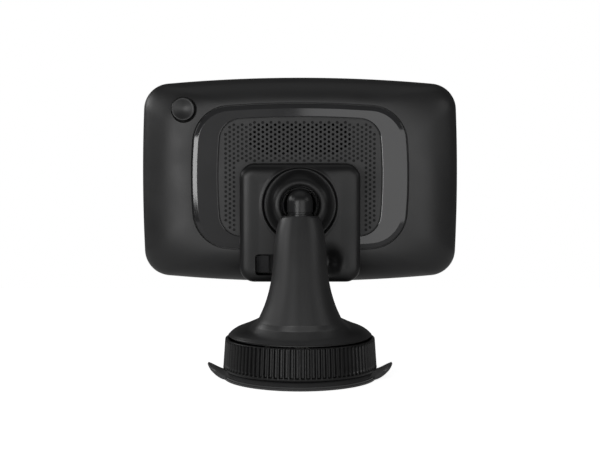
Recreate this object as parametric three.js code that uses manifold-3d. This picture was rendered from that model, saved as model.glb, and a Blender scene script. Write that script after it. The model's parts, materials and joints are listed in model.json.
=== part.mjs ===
// Portable navigator on a windscreen mount: a display head, a magnetic dock, a ball-jointed arm
// and a suction base that a turning dial locks. Millimetres, +Z up, screen towards -Y.
// The origin is the centre of the suction cup's flat foot.
import * as THREE from 'three';
import { mergeVertices } from 'three/addons/utils/BufferGeometryUtils.js';
import Module from 'manifold-3d';

const wasm = await Module();
wasm.setup();

// ---------- driving dimensions ----------
const fitGap = 0.3; // between pieces that rest on each other
const runGap = 0.5; // between pieces that move past each other
const overcut = 1; // how far a cutter runs past the face it opens

const roundSides = 24;
const dialSides = 36;
const skirtSides = 32;
const plainSides = 20;
const smallSides = 8;
const cornerSteps = 4;
const edgeSteps = 2;

// head
const headWidth = 145;
const headHeight = 93.8;
const headCentreZ = 85;
const headTopArc = 680;
const headSideArc = 740;
const headCorner = 12;
const coverDepth = 14;
const frameDepth = 6.5;
const coverWall = 2.2;
const domeSteps = 6;

const trimMargin = 23.9; // from the head's side to the trim's
const trimFoot = 13.8; // the same, above and below
const trimWidth = headWidth - 2 * trimMargin;
const trimHeight = headHeight - 2 * trimFoot;
const trimRise = 1.1; // centre of the trim above the centre of the head
const trimTopArc = 440;
const trimSideArc = 206;
const trimCorner = 16.6;
const trimThickness = 1.3;
const recessFloor = 1.6;

const trimBand = 11.7; // width of the trim's face at its sides
const trimBandTop = 6.1;
const grilleWidth = trimWidth - 2 * trimBand;
const grilleHeight = trimHeight - 2 * trimBandTop;
const grilleCorner = 9.8;
const grilleThickness = 0.8;
const grilleSink = 0.4; // how far the grille lies below the trim

const speakerMargin = 11.9; // from the grille's side to the speaker
const speakerWidth = grilleWidth - 2 * speakerMargin;
const speakerHeight = 18;
const speakerRise = 18.5;
const speakerFrameThickness = 1;
const speakerDepth = 4.5;
const speakerRim = 1.6;
const speakerConeWall = 0.8;
const speakerWall = 0.6; // half the basket's wall
const speakerFloor = 0.8;
const speakerLap = 0.4; // how far the basket's wall runs into its rim
const speakerVentRadius = 3;
const speakerVentInset = 11; // from the end of the speaker to a vent
const coneInset = 0.9;
const coneFoot = 4.5;
const coneRise = 1.6; // of the cone's foot above the basket's floor
const speakerMagnetRadius = 7;
const speakerMagnetThickness = 2.6;

const buttonRadius = 5.2;
const buttonX = headWidth / 2 - 20;
const buttonRise = headHeight / 2 - 15.2;
const buttonSink = 0.5;
const buttonThickness = 3.6;
const buttonDish = 0.5;
const buttonDishRadius = 28;
const buttonShaftGap = 4; // what the dome keeps below the button's hole
const buttonFlange = 1.2;
const buttonFlangeThickness = 0.8;
const buttonLap = 0.2; // how far the cap runs into its flange
const buttonStemRadius = 1.5;
const buttonStemLength = 0.7;
const buttonTravel = 0.6;
const switchSide = 6;
const switchPlunger = 1.2; // what the switch's plunger stands out
const switchLap = 0.8;

const glassInset = 2;
const glassThickness = 1.2;
const windowInset = 6;
const displayWidth = headWidth - 27;
const displayHeight = headHeight - 19.8;
const displayCorner = 1;
const displayThickness = 2.7;
const gasketWidth = 4;
const gasketThickness = 0.5;
const midFrameThickness = 0.7;
const midFrameSetback = 0.2; // into the frame from its back edge
const boardWidth = headWidth - 29;
const boardHeight = headHeight - 17.8;
const boardCorner = 3;
const boardThickness = 1.2;
const boardGap = 1.3;
const batteryWidth = 26;
const batteryHeight = 46;
const batteryThickness = 5;
const batteryX = 27.5 - headWidth / 2;
const shieldWidth = 24;
const shieldHeight = 40;
const shieldThickness = 2.6;
const shieldX = headWidth / 2 - 26.5;
const shieldRise = -12;
const antennaWidth = 18;
const antennaHeight = 12;
const antennaThickness = 4;
const antennaX = batteryX;
const antennaRise = 30;
const cardReaderWidth = 15;
const cardReaderHeight = 14;
const cardReaderThickness = 1.6;
const cardSlotWidth = 12;
const cardSlotHeight = 1;
const headScrewX = headWidth / 2 - 10;
const headScrewRise = headHeight / 2 - 22.9;
const headScrewLength = 4.5;
const headBossRadius = 3;
const headPilotDepth = 6;
const cardSlotReach = 6; // how far the slot runs in from the head's lower edge

// ball and dock
const ballRadius = 7;
const ballY = -11;
const ballZ = 74;
const ballToDockBack = 3;

const dockWidth = 53.3;
const dockHeight = 52.2;
const dockCorner = 6.5;
const leastCorner = 0.8; // of an outline drawn far inside another
const dockCentreZ = 66;
const dockDepth = ballRadius + 9;
const dockRounding = [[5, 0], [2.4, 0.35], [0.9, 1.1], [0.2, 2.6], [0, 4.6]]; // [inset, depth]
const dockWall = 1.8;
const dockPlateThickness = 2.3;
const dockPocketDepth = 4; // how deep the dock sits in the head
const dockPocketGap = 0.4;
const headBackY = ballY + ballToDockBack - dockDepth + dockPocketDepth;
const bayWall = 1.6;
const dishDepth = 3.5;
const dishSlope = 0.6;
const dishFloor = 1.6;
const collarRadius = ballRadius + 5.5;
const dishRadius = collarRadius + 3.7;
const openingRadius = ballRadius + 1;
const openingGap = 0.4;
const seatAngle = 12.0813; // from the ball's middle plane to the finger collar's seat, in degrees
const dockBossRadius = 2.6;
const dockPilotDepth = 5;
const dockScrewLength = 5;

const linerWall = 1.1;
const linerAngle = 46;
const cupWall = 1.3;
const cupAngle = 60;
const fingerWall = 1.3;
const fingerStartAngle = 68;
const fingerEndAngle = 105;
const fingerSlot = 2.4;
const fingerFlangeRadius = ballRadius + 5;
const fingerFlangeThickness = 1.3;
const fingerFlangeGap = 1.5; // from the flange's bore to the liner
const fingerNeck = 0.9;
const fingerNeckInset = 0.35;
const springInner = 3.2;
const springOuter = ballRadius + 0.5;
const springThickness = 0.6;
const springCone = 0.9; // height of the dished spring

const magnetRadius = 6;
const magnetThickness = 2;
const magnetX = dockWidth / 2 - 8.15;
const dockScrewX = dockWidth / 2 - 4.35;
const dockScrewRise = dockHeight / 2 - 3.9;

const channelLow = 43; // height of the charging channel's lower wall
const channelHigh = 52.3;
const channelEndX = dockWidth / 2 - 6.95;
const channelWall = 1.5;
const channelLip = 0.4; // depth at which the ramp starts
const channelStartX = -12;
const channelRamp = 5;
const channelDepth = 8.5;
const socketLength = 5.5;
const socketWidth = 7.5;
const socketThickness = 2.6;
const socketWall = 0.4;
const socketBack = 1; // closed end of the socket
const tongueGap = 1.6; // from the tongue's edge to the socket's outside
const tongueSetback = 0.8;
const tongueThickness = 0.6;

const pinPitch = 3;
const pinCount = 4;
const pinZ = 47;
const pinRadius = 0.7;
const pinLength = 4;
const pinFlangeRadius = 1.1;
const pinFlangeThickness = 0.6;
const pinTravel = 0.7;
const padRadius = 1;
const padThickness = 1.8;
const padSink = 0.6;
const dockBoardWidth = 20;
const dockBoardThickness = 1;
const dockBoardBelow = 0.5; // how far the board runs past the channel
const dockBoardAbove = 1;
const contactBlockHeight = 5.2;
const dockingPlateSide = 36;
const dockingPlateThickness = 1;
const dockingPlateZ = 67;

// arm and base
const armTopZ = 69.9;
const armBottomZ = 17.5;
const armBackTop = 17; // the arm's back edge at its top
const armBackSlope = 0.26; // outwards for each millimetre down
const armWall = 2.2;
const armPlugHeight = 14; // solid head of the arm that holds the stem
const skirtRadius = 30.7;
const skirtSteps = [[0.3, 1.3, 0], [0.9, 2.4, 0.2], [2.6, 3.8, 0.4], [6.4, 5.3, 0.6], [13, 8, 1]];
const armBossRadius = 2.4;
const armBossHeight = 5;
const armPilotHeight = 4.5;
const armFloor = 2;
const stemRadius = 5.4;
const stemY = 8.5;
const stemDepth = 11;
const elbowRise = 0.6;
const neckRadius = 3.7;
const stemScrewRadius = 2;
const stemThread = 0.2; // how far the thread is cut away
const stemThreadLength = 7;
const stemScrewHead = 3.6;
const stemScrewHeadHeight = 2.2;
const stemScrewLap = 0.5;
const stemScrewReach = 6;
const washerRim = 1.6;
const washerThickness = 1;
const baseScrewReach = 4;

const dialTopZ = 17.2;
const dialBottomZ = 3.9;
const dialTopRadius = 32.3;
const dialBottomRadius = 33.2;
const dialWall = 2;
const dialWebZ = 7.2;
const dialWebThickness = 1.6;
const dialTurn = 90;

const plateRadius = 30;
const plateThickness = 2.3;
const columnRadius = 13.2;
const columnBore = 9.2;
const notchWidth = 8;
const notchFloorZ = 7.8;
const camWall = 4.5;
const camLowZ = 9;
const camLift = 2.5;
const camStartAngle = 18;
const camStep = 9; // degrees between the ring's sections
const camPeriod = 180; // degrees from one ramp to the next
const lugWidth = 6.6;
const lugHeight = 3;
const plungerHeight = 7.5;
const plungerFoot = 1.2; // how far the hub reaches below its lugs
const studRadius = 3;
const studFlangeRadius = 7.5;
const studFlangeThickness = 1.6;
const studLength = 9;

const cupRadius = 34;
const cupThickness = 3.3;
const cupRimThickness = 1;
const cupShoulderRadius = 31;
const tabReach = 40;
const tabTipZ = 5;
const tabWidth = 15;
const tabThickness = 1.8;
const tabRootThickness = 1.4;
const tabOverlap = 3; // how far the tab runs into the disc
const tabBend = 1.4; // how far the bend's control point lies past the middle
const tabSteps = 5;

const screwHeadRadius = 2.1;
const screwHeadHeight = 1;
const screwRadius = 1;

// ---------- materials ----------
const materials = {
  coverPlastic: new THREE.MeshStandardMaterial({ color: 0x2c2c2d, roughness: 0.62, metalness: 0 }),
  framePlastic: new THREE.MeshStandardMaterial({ color: 0x1d1d1e, roughness: 0.5, metalness: 0 }),
  trimPlastic: new THREE.MeshStandardMaterial({ color: 0x343436, roughness: 0.32, metalness: 0 }),
  grillePlastic: new THREE.MeshStandardMaterial({ color: 0x222223, roughness: 0.6, metalness: 0 }),
  dockPlastic: new THREE.MeshStandardMaterial({ color: 0x2b2b2c, roughness: 0.5, metalness: 0 }),
  armPlastic: new THREE.MeshStandardMaterial({ color: 0x2d2d2e, roughness: 0.52, metalness: 0 }),
  stemPlastic: new THREE.MeshStandardMaterial({ color: 0x141415, roughness: 0.3, metalness: 0 }),
  linerPlastic: new THREE.MeshStandardMaterial({ color: 0xb9b9b4, roughness: 0.6, metalness: 0 }),
  dialRubber: new THREE.MeshStandardMaterial({ color: 0x19191a, roughness: 0.65, metalness: 0 }),
  cupRubber: new THREE.MeshStandardMaterial({ color: 0x1a1a1b, roughness: 0.22, metalness: 0 }),
  glass: new THREE.MeshStandardMaterial({ color: 0x08090a, roughness: 0.08, metalness: 0 }),
  display: new THREE.MeshStandardMaterial({ color: 0x101418, roughness: 0.3, metalness: 0 }),
  foam: new THREE.MeshStandardMaterial({ color: 0x151515, roughness: 0.95, metalness: 0 }),
  board: new THREE.MeshStandardMaterial({ color: 0x1d4d2b, roughness: 0.5, metalness: 0 }),
  steel: new THREE.MeshStandardMaterial({ color: 0xb4b6b8, roughness: 0.35, metalness: 1 }),
  gold: new THREE.MeshStandardMaterial({ color: 0xc8a24a, roughness: 0.3, metalness: 1 }),
  magnet: new THREE.MeshStandardMaterial({ color: 0x8d8f92, roughness: 0.3, metalness: 1 }),
  cell: new THREE.MeshStandardMaterial({ color: 0x9aa0a6, roughness: 0.45, metalness: 0.4 }),
  ceramic: new THREE.MeshStandardMaterial({ color: 0xb5a888, roughness: 0.7, metalness: 0 }),
};

// ---------- solids ----------
function toSolid(geometry) {
  const bare = geometry.clone();
  bare.deleteAttribute('normal');
  bare.deleteAttribute('uv');
  const merged = mergeVertices(bare, 1e-4);
  const mesh = new wasm.Mesh({
    numProp: 3,
    vertProperties: new Float32Array(merged.attributes.position.array),
    triVerts: new Uint32Array(merged.index.array),
  });
  return new wasm.Manifold(mesh);
}

function toGeometry(solid) {
  const mesh = solid.getMesh();
  const geometry = new THREE.BufferGeometry();
  geometry.setAttribute('position', new THREE.BufferAttribute(mesh.vertProperties, 3));
  geometry.setIndex(new THREE.BufferAttribute(mesh.triVerts, 1));
  geometry.computeVertexNormals();
  return geometry;
}

function join(...solids) {
  return solids.reduce((whole, piece) => whole.add(piece));
}

function cut(solid, ...cutters) {
  return cutters.reduce((rest, cutter) => rest.subtract(cutter), solid);
}

function block(x0, x1, y0, y1, z0, z1) {
  const box = new THREE.BoxGeometry(x1 - x0, y1 - y0, z1 - z0);
  box.translate((x0 + x1) / 2, (y0 + y1) / 2, (z0 + z1) / 2);
  return toSolid(box);
}

// a round bar or cone along Z
function bar(radius, z0, z1, { x = 0, y = 0, sides = smallSides, topRadius = radius } = {}) {
  const cylinder = new THREE.CylinderGeometry(topRadius, radius, z1 - z0, sides);
  cylinder.rotateX(Math.PI / 2);
  cylinder.translate(x, y, (z0 + z1) / 2);
  return toSolid(cylinder);
}

// a profile of [radius, height] points turned round Z, closed on itself unless it starts on the axis
function turned(points, sides = roundSides) {
  const closed = points[0][0] > 0 ? [...points, points[0]] : points;
  const profile = closed.map(([radius, height]) => new THREE.Vector2(radius, height));
  if (THREE.ShapeUtils.area(profile) < 0) profile.reverse();
  const lathe = new THREE.LatheGeometry(profile, sides);
  lathe.rotateX(Math.PI / 2);
  return toSolid(lathe);
}

// an outline in XY given thickness along Z
function slab(outline, z0, z1, hole = null) {
  const shape = new THREE.Shape(outline);
  if (hole) shape.holes.push(new THREE.Path(hole));
  const plate = new THREE.ExtrudeGeometry(shape, { depth: z1 - z0, bevelEnabled: false });
  plate.translate(0, 0, z0);
  return toSolid(plate);
}

// one closed skin through outlines of equal count, each at its own height
function loft(sections) {
  const count = sections[0].outline.length;
  const positions = sections.flatMap(({ outline, z }) => outline.flatMap((p) => [p.x, p.y, z]));
  const index = [];
  for (let level = 0; level < sections.length - 1; level += 1) {
    for (let i = 0; i < count; i += 1) {
      const a = level * count + i;
      const b = level * count + ((i + 1) % count);
      index.push(a, b, b + count, a, b + count, a + count);
    }
  }
  const last = (sections.length - 1) * count;
  for (const [i, j, k] of THREE.ShapeUtils.triangulateShape(sections[0].outline, [])) {
    index.push(k, j, i);
  }
  for (const [i, j, k] of THREE.ShapeUtils.triangulateShape(sections.at(-1).outline, [])) {
    index.push(last + i, last + j, last + k);
  }
  const geometry = new THREE.BufferGeometry();
  geometry.setAttribute('position', new THREE.Float32BufferAttribute(positions, 3));
  geometry.setIndex(index);
  return toSolid(geometry);
}

// ---------- outlines ----------
// Points along an arc, ends included
function arcPoints(centre, radius, from, to, steps) {
  const points = [];
  for (let i = 0; i <= steps; i += 1) {
    const angle = from + ((to - from) * i) / steps;
    points.push(new THREE.Vector2(
      centre.x + radius * Math.cos(angle),
      centre.y + radius * Math.sin(angle),
    ));
  }
  return points;
}

// A rectangle whose four sides are shallow arcs and whose corners are tangent to them.
// The corner's centre lies sideArc - corner from one arc's centre and topArc - corner from the other's.
function bulgedOutline(width, height, topArc, sideArc, corner, rise = 0) {
  const sideCentre = new THREE.Vector2(width / 2 - sideArc, 0);
  const topCentre = new THREE.Vector2(0, height / 2 - topArc);
  const fromSide = sideArc - corner;
  const fromTop = topArc - corner;
  const between = topCentre.clone().sub(sideCentre);
  const gap = between.length();
  const along = (gap * gap + fromSide * fromSide - fromTop * fromTop) / (2 * gap);
  const across = Math.sqrt(fromSide * fromSide - along * along);
  const unit = between.divideScalar(gap);
  const centre = sideCentre.clone()
    .addScaledVector(unit, along)
    .addScaledVector(new THREE.Vector2(-unit.y, unit.x), across);
  const sideAngle = Math.atan2(centre.y - sideCentre.y, centre.x - sideCentre.x);
  const topAngle = Math.atan2(centre.y - topCentre.y, centre.x - topCentre.x);
  const side = arcPoints(sideCentre, sideArc, 0, sideAngle, edgeSteps);
  const bend = arcPoints(centre, corner, sideAngle, topAngle, cornerSteps);
  const top = arcPoints(topCentre, topArc, topAngle, Math.PI / 2, edgeSteps);
  const quarter = [...side, ...bend.slice(1, -1), ...top];
  const left = quarter.slice(0, -1).reverse().map((p) => new THREE.Vector2(-p.x, p.y));
  const half = [...quarter, ...left];
  const under = half.slice(1, -1).reverse().map((p) => new THREE.Vector2(p.x, -p.y));
  return [...half, ...under].map((p) => new THREE.Vector2(p.x, p.y + rise));
}

function roundedOutline(width, height, corner, { x = 0, y = 0 } = {}) {
  const points = [];
  const corners = [[1, -1], [1, 1], [-1, 1], [-1, -1]];
  corners.forEach(([signX, signY], quarter) => {
    const centre = new THREE.Vector2(
      x + signX * (width / 2 - corner),
      y + signY * (height / 2 - corner),
    );
    const from = (quarter - 1) * (Math.PI / 2);
    points.push(...arcPoints(centre, corner, from, from + Math.PI / 2, cornerSteps));
  });
  return points;
}

function circleOutline(radius, x, y, sides = roundSides) {
  return arcPoints(new THREE.Vector2(x, y), radius, 0, 2 * Math.PI, sides).slice(0, -1);
}

function blendOutlines(outer, inner, share) {
  return outer.map((p, i) => p.clone().lerp(inner[i], share));
}

function headOutline(inset = 0) {
  return bulgedOutline(headWidth - 2 * inset, headHeight - 2 * inset, headTopArc, headSideArc,
    headCorner - inset);
}

function trimOutline(inset = 0) {
  return bulgedOutline(trimWidth - 2 * inset, trimHeight - 2 * inset, trimTopArc, trimSideArc,
    trimCorner - inset, trimRise);
}

function grilleOutline(inset = 0) {
  return bulgedOutline(grilleWidth - 2 * inset, grilleHeight - 2 * inset, trimTopArc, trimSideArc,
    grilleCorner - inset, trimRise);
}

// the dock seen from behind, about any origin at height originZ
function dockOutline(inset, originZ) {
  const corner = Math.max(dockCorner - inset, leastCorner);
  return roundedOutline(dockWidth - 2 * inset, dockHeight - 2 * inset, corner,
    { y: dockCentreZ - originZ });
}

// ---------- scene graph ----------
const navigator = new THREE.Group();
const base = new THREE.Group();
const dock = new THREE.Group();
const head = new THREE.Group();
// inside the dock and the head, local X is X, local Y is up and local Z points to the screen side
dock.rotation.x = Math.PI / 2;
dock.position.set(0, ballY, ballZ);
head.rotation.x = Math.PI / 2;
head.position.set(0, headBackY, headCentreZ);
navigator.add(base, dock, head);

function addPiece(group, name, solid, material, position = [0, 0, 0]) {
  const mesh = new THREE.Mesh(toGeometry(solid), material);
  mesh.name = name;
  mesh.position.set(...position);
  group.add(mesh);
}

// a pan-head screw whose head's underside is at z = 0 and whose shank runs towards +Z
function screw(length) {
  return join(bar(screwHeadRadius, -screwHeadHeight, 0), bar(screwRadius, -overcut / 2, length));
}

// ---------- head ----------
const trimBack = recessFloor; // depth at which the trim's recess ends
const coverFloorInside = 2 * recessFloor;
const pocketDepth = dockPocketDepth + fitGap;
const bayInside = pocketDepth + bayWall;
const frameBack = coverDepth + fitGap;
const glassFront = coverDepth + frameDepth;
const glassBack = glassFront - glassThickness;
const ledge = glassBack - fitGap;
const midFrameBack = frameBack + midFrameSetback;
const midFrameFront = midFrameBack + midFrameThickness;
const boardFront = midFrameBack - boardGap;
const boardBack = boardFront - boardThickness;
const onBoard = boardBack - fitGap; // depth of the front face of what is soldered to the board

// how deep the dome lies at a share of the way in from the outline
function domeDepth(share, deepest) {
  return deepest * (1 - Math.sqrt(1 - (1 - share) ** 2));
}

// outlines from the trim out to the parting line, closer together where the dome is steep
function domeSections(inset, top, rim, steps) {
  const sections = [];
  for (let i = steps; i >= 0; i -= 1) {
    const share = 1 - Math.cos((i / steps) * (Math.PI / 2));
    const outline = blendOutlines(headOutline(inset), trimOutline(inset / 2), share);
    sections.push({ outline, z: top + domeDepth(share, rim - top) });
  }
  return sections;
}

function dockPocket() {
  return slab(dockOutline(-dockPocketGap, headCentreZ), -overcut, pocketDepth);
}

function bayFloor(outside) {
  const walls = slab(dockOutline(-dockPocketGap - bayWall, headCentreZ), 0, bayInside);
  return walls.intersect(outside);
}

const cornerSigns = [[1, 1], [-1, 1], [-1, -1], [1, -1]];
const headScrewPlaces = cornerSigns.map(([x, y]) => [x * headScrewX, y * headScrewRise]);
const pinPlaces = Array.from({ length: pinCount }, (_, i) => (i - (pinCount - 1) / 2) * pinPitch);

function speakerOutline(inset) {
  const height = speakerHeight - 2 * inset;
  return roundedOutline(speakerWidth - 2 * inset, height, height / 2 - 0.01, { y: speakerRise });
}

function rearCover() {
  const buttonPlace = { x: buttonX, y: buttonRise, sides: plainSides };
  const shaftEnd = coverDepth - buttonShaftGap;
  const outside = loft(domeSections(0, 0, coverDepth, domeSteps));
  const inside = loft(domeSections(coverWall, coverFloorInside, coverDepth + overcut, domeSteps / 2));
  const bosses = headScrewPlaces.map(([x, y]) =>
    bar(headBossRadius, coverFloorInside, coverDepth, { x, y }).intersect(outside));
  const pilots = headScrewPlaces.map(([x, y]) =>
    bar(screwRadius + fitGap, coverDepth - headPilotDepth, coverDepth + overcut, { x, y }));
  const padHoles = pinPlaces.map((x) =>
    bar(padRadius + fitGap, pocketDepth - overcut, bayInside + overcut, { x, y: pinZ - headCentreZ }));
  const cardSlot = block(-cardSlotWidth / 2, cardSlotWidth / 2, -headHeight, cardSlotReach - headHeight / 2,
    onBoard - cardReaderThickness / 2 - cardSlotHeight / 2,
    onBoard - cardReaderThickness / 2 + cardSlotHeight / 2);
  return cut(
    join(outside.subtract(inside), bayFloor(outside), ...bosses),
    dockPocket(),
    slab(trimOutline(-fitGap), -overcut, trimBack),
    slab(speakerOutline(speakerRim), 0, coverFloorInside + overcut),
    bar(buttonRadius + fitGap, -overcut, shaftEnd, buttonPlace),
    bar(buttonRadius + buttonFlange + fitGap, buttonFlangeBack - fitGap, shaftEnd, buttonPlace),
    ...pilots,
    ...padHoles,
    cardSlot,
  );
}

function trimRing() {
  return slab(trimOutline(), trimBack - fitGap - trimThickness, trimBack - fitGap, grilleOutline())
    .subtract(dockPocket());
}

function speakerGrille() {
  const front = trimBack - fitGap;
  return slab(grilleOutline(fitGap), front - grilleThickness, front).subtract(dockPocket());
}

const speakerFront = coverFloorInside + fitGap;
const speakerBody = speakerFront + speakerFrameThickness;
const speakerEnd = speakerBody + speakerDepth;

function speakerBasket() {
  const rim = slab(speakerOutline(0), speakerFront, speakerBody, speakerOutline(speakerRim));
  const wall = slab(speakerOutline(speakerRim - speakerWall), speakerBody - speakerLap, speakerEnd,
    speakerOutline(speakerRim + speakerWall));
  const floor = slab(speakerOutline(speakerRim), speakerEnd - speakerFloor, speakerEnd);
  const ventX = speakerWidth / 2 - speakerVentInset;
  const vents = [-1, 1].map((side) => bar(speakerVentRadius, speakerBody, speakerEnd + overcut,
    { x: side * ventX, y: speakerRise }));
  return cut(join(rim, wall, floor), ...vents);
}

// a shallow oval dish that faces the grille
function speakerCone() {
  const rim = speakerOutline(speakerRim + coneInset);
  const foot = speakerOutline(speakerRim + coneFoot);
  const top = speakerBody;
  const low = speakerEnd - coneRise;
  const outside = loft([{ outline: rim, z: top }, { outline: foot, z: low }]);
  const inside = loft([
    { outline: rim, z: top - speakerConeWall },
    { outline: foot, z: low - speakerConeWall },
  ]);
  return outside.subtract(inside);
}

function speakerMagnet() {
  const low = speakerEnd + fitGap;
  return bar(speakerMagnetRadius, low, low + speakerMagnetThickness,
    { y: speakerRise, sides: plainSides });
}

const buttonFlangeBack = buttonSink + buttonThickness;

function powerButton() {
  const cap = bar(buttonRadius, buttonSink, buttonFlangeBack + buttonLap, { sides: plainSides });
  const dish = new THREE.SphereGeometry(buttonDishRadius, 48, 96);
  dish.translate(0, 0, buttonSink - buttonDishRadius + buttonDish);
  const flange = bar(buttonRadius + buttonFlange, buttonFlangeBack,
    buttonFlangeBack + buttonFlangeThickness, { sides: plainSides });
  const stem = bar(buttonStemRadius, buttonFlangeBack,
    buttonFlangeBack + buttonFlangeThickness + buttonStemLength);
  return join(cap.subtract(toSolid(dish)), flange, stem);
}

function powerSwitch() {
  const top = buttonFlangeBack + buttonFlangeThickness + buttonStemLength + buttonTravel + fitGap;
  const half = switchSide / 2;
  const body = block(-half, half, -half, half, top + switchPlunger, onBoard);
  return join(body, bar(buttonStemRadius, top, top + switchPlunger + switchLap));
}

function frontFrame() {
  const whole = slab(headOutline(), frameBack, glassFront, headOutline(windowInset));
  return whole.subtract(slab(headOutline(glassInset), ledge, glassFront + overcut));
}

function touchGlass() {
  return slab(headOutline(glassInset + fitGap), glassBack, glassFront);
}

function displayOutline(inset) {
  return roundedOutline(displayWidth - 2 * inset, displayHeight - 2 * inset, displayCorner);
}

function displayPanel() {
  const back = midFrameFront + fitGap;
  return slab(displayOutline(0), back, back + displayThickness);
}

function displayGasket() {
  const back = midFrameFront + 2 * fitGap + displayThickness;
  return slab(displayOutline(0), back, back + gasketThickness,
    displayOutline(gasketWidth));
}

function midFrame() {
  const holes = headScrewPlaces.map(([x, y]) =>
    bar(screwRadius + fitGap, midFrameBack - overcut, midFrameFront + overcut, { x, y }));
  return cut(slab(headOutline(windowInset + fitGap), midFrameBack, midFrameFront), ...holes);
}

function mainBoard() {
  return slab(roundedOutline(boardWidth, boardHeight, boardCorner), boardBack, boardFront);
}

function boardPart(width, height, thickness) {
  return block(-width / 2, width / 2, -height / 2, height / 2, onBoard - thickness, onBoard);
}

function contactPad() {
  return bar(padRadius, pocketDepth + padSink, pocketDepth + padSink + padThickness);
}

function dockingPlate() {
  const back = bayInside + fitGap;
  const half = dockingPlateSide / 2;
  const centre = dockingPlateZ - headCentreZ;
  return block(-half, half, centre - half, centre + half, back, back + dockingPlateThickness);
}

addPiece(head, 'rear_cover', rearCover(), materials.coverPlastic);
addPiece(head, 'trim_ring', trimRing(), materials.trimPlastic);
addPiece(head, 'speaker_grille', speakerGrille(), materials.grillePlastic);
addPiece(head, 'speaker_basket', speakerBasket(), materials.framePlastic);
addPiece(head, 'speaker_cone', speakerCone(), materials.foam);
addPiece(head, 'speaker_magnet', speakerMagnet(), materials.magnet);
addPiece(head, 'power_button', powerButton(), materials.coverPlastic, [buttonX, buttonRise, 0]);
addPiece(head, 'power_switch', powerSwitch(), materials.framePlastic, [buttonX, buttonRise, 0]);
addPiece(head, 'front_frame', frontFrame(), materials.framePlastic);
addPiece(head, 'touch_glass', touchGlass(), materials.glass);
addPiece(head, 'display_panel', displayPanel(), materials.display);
addPiece(head, 'display_gasket', displayGasket(), materials.foam);
addPiece(head, 'mid_frame', midFrame(), materials.steel);
addPiece(head, 'main_board', mainBoard(), materials.board);
addPiece(head, 'battery', boardPart(batteryWidth, batteryHeight, batteryThickness),
  materials.cell, [batteryX, 0, 0]);
addPiece(head, 'shield_can', boardPart(shieldWidth, shieldHeight, shieldThickness),
  materials.steel, [shieldX, shieldRise, 0]);
addPiece(head, 'gps_antenna', boardPart(antennaWidth, antennaHeight, antennaThickness),
  materials.ceramic, [antennaX, antennaRise, 0]);
addPiece(head, 'card_reader', boardPart(cardReaderWidth, cardReaderHeight, cardReaderThickness),
  materials.steel, [0, (cardReaderHeight - boardHeight) / 2, 0]);
addPiece(head, 'docking_plate', dockingPlate(), materials.steel);
headScrewPlaces.forEach(([x, y], i) => {
  // turned over, so that the head is on the screen side
  const piece = screw(headScrewLength).rotate([180, 0, 0]).translate([0, 0, midFrameFront + fitGap]);
  addPiece(head, `housing_screw_${i + 1}`, piece, materials.steel, [x, y, 0]);
});
pinPlaces.forEach((x, i) => {
  addPiece(head, `contact_pad_${i + 1}`, contactPad(), materials.gold, [x, pinZ - headCentreZ, 0]);
});

// ---------- dock ----------
const dockBack = -ballToDockBack;
const dockFront = dockBack + dockDepth;
const plateBack = dockFront - dockPlateThickness;
const shellFront = plateBack - fitGap;
const dishBottom = dockBack + dishDepth;
const linerInner = ballRadius + fitGap;
const linerOuter = linerInner + linerWall;
const pressInner = linerOuter + fitGap;
const pressOuter = pressInner + cupWall;
const fingerOuter = linerInner + fingerWall;
const channelFloor = dockBack + channelDepth;
const channelY0 = channelLow - ballZ;
const channelY1 = channelHigh - ballZ;
const dockScrewPlaces = cornerSigns
  .map(([x, y]) => [x * dockScrewX, dockCentreZ - ballZ + y * dockScrewRise]);
const magnetPlaces = [1, -1].map((side) => [side * magnetX, dockCentreZ - ballZ]);

// profile of a spherical shell between two angles from +Z, in degrees
function shellProfile(inner, outer, from, to) {
  const steps = Math.max(3, Math.round(Math.abs(to - from) / 12));
  const at = (radius, i) => {
    const angle = THREE.MathUtils.degToRad(from + ((to - from) * i) / steps);
    return [radius * Math.sin(angle), radius * Math.cos(angle)];
  };
  const outerSide = Array.from({ length: steps + 1 }, (_, i) => at(outer, i));
  const innerSide = Array.from({ length: steps + 1 }, (_, i) => at(inner, steps - i));
  return [...outerSide, ...innerSide];
}

function cappedShell(inner, outer, angle) {
  return turned(shellProfile(inner, outer, 0, angle).map(([r, z]) => [Math.max(r, 0), z]), 20);
}

// rounded back edge: outlines grow from the crowned back to the full width
function dockSections(wall, back, front) {
  const sections = dockRounding.map(([inset, depth]) =>
    ({ outline: dockOutline(inset + wall, ballZ), z: back + depth }));
  return [...sections, { outline: dockOutline(wall, ballZ), z: front }];
}

// the channel's own space, or the walls round it where wall is more than nothing
function channel(wall) {
  const low = channelY0 - wall;
  const high = channelY1 + wall;
  const end = channelEndX + wall;
  const floor = channelFloor + wall;
  const mouth = wall > 0 ? dockBack : dockBack - overcut;
  const profile = [
    [channelStartX - channelRamp - wall, mouth],
    [end, mouth],
    [end, floor],
    [channelStartX - wall, floor],
    [channelStartX - channelRamp - wall, dockBack + wall + channelLip],
  ].map(([x, z]) => new THREE.Vector2(x, z));
  const shape = new THREE.ExtrudeGeometry(new THREE.Shape(profile),
    { depth: high - low, bevelEnabled: false });
  // the profile's second axis becomes Z and its thickness runs along -Y
  shape.rotateX(Math.PI / 2);
  shape.translate(0, high, 0);
  return toSolid(shape);
}

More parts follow.
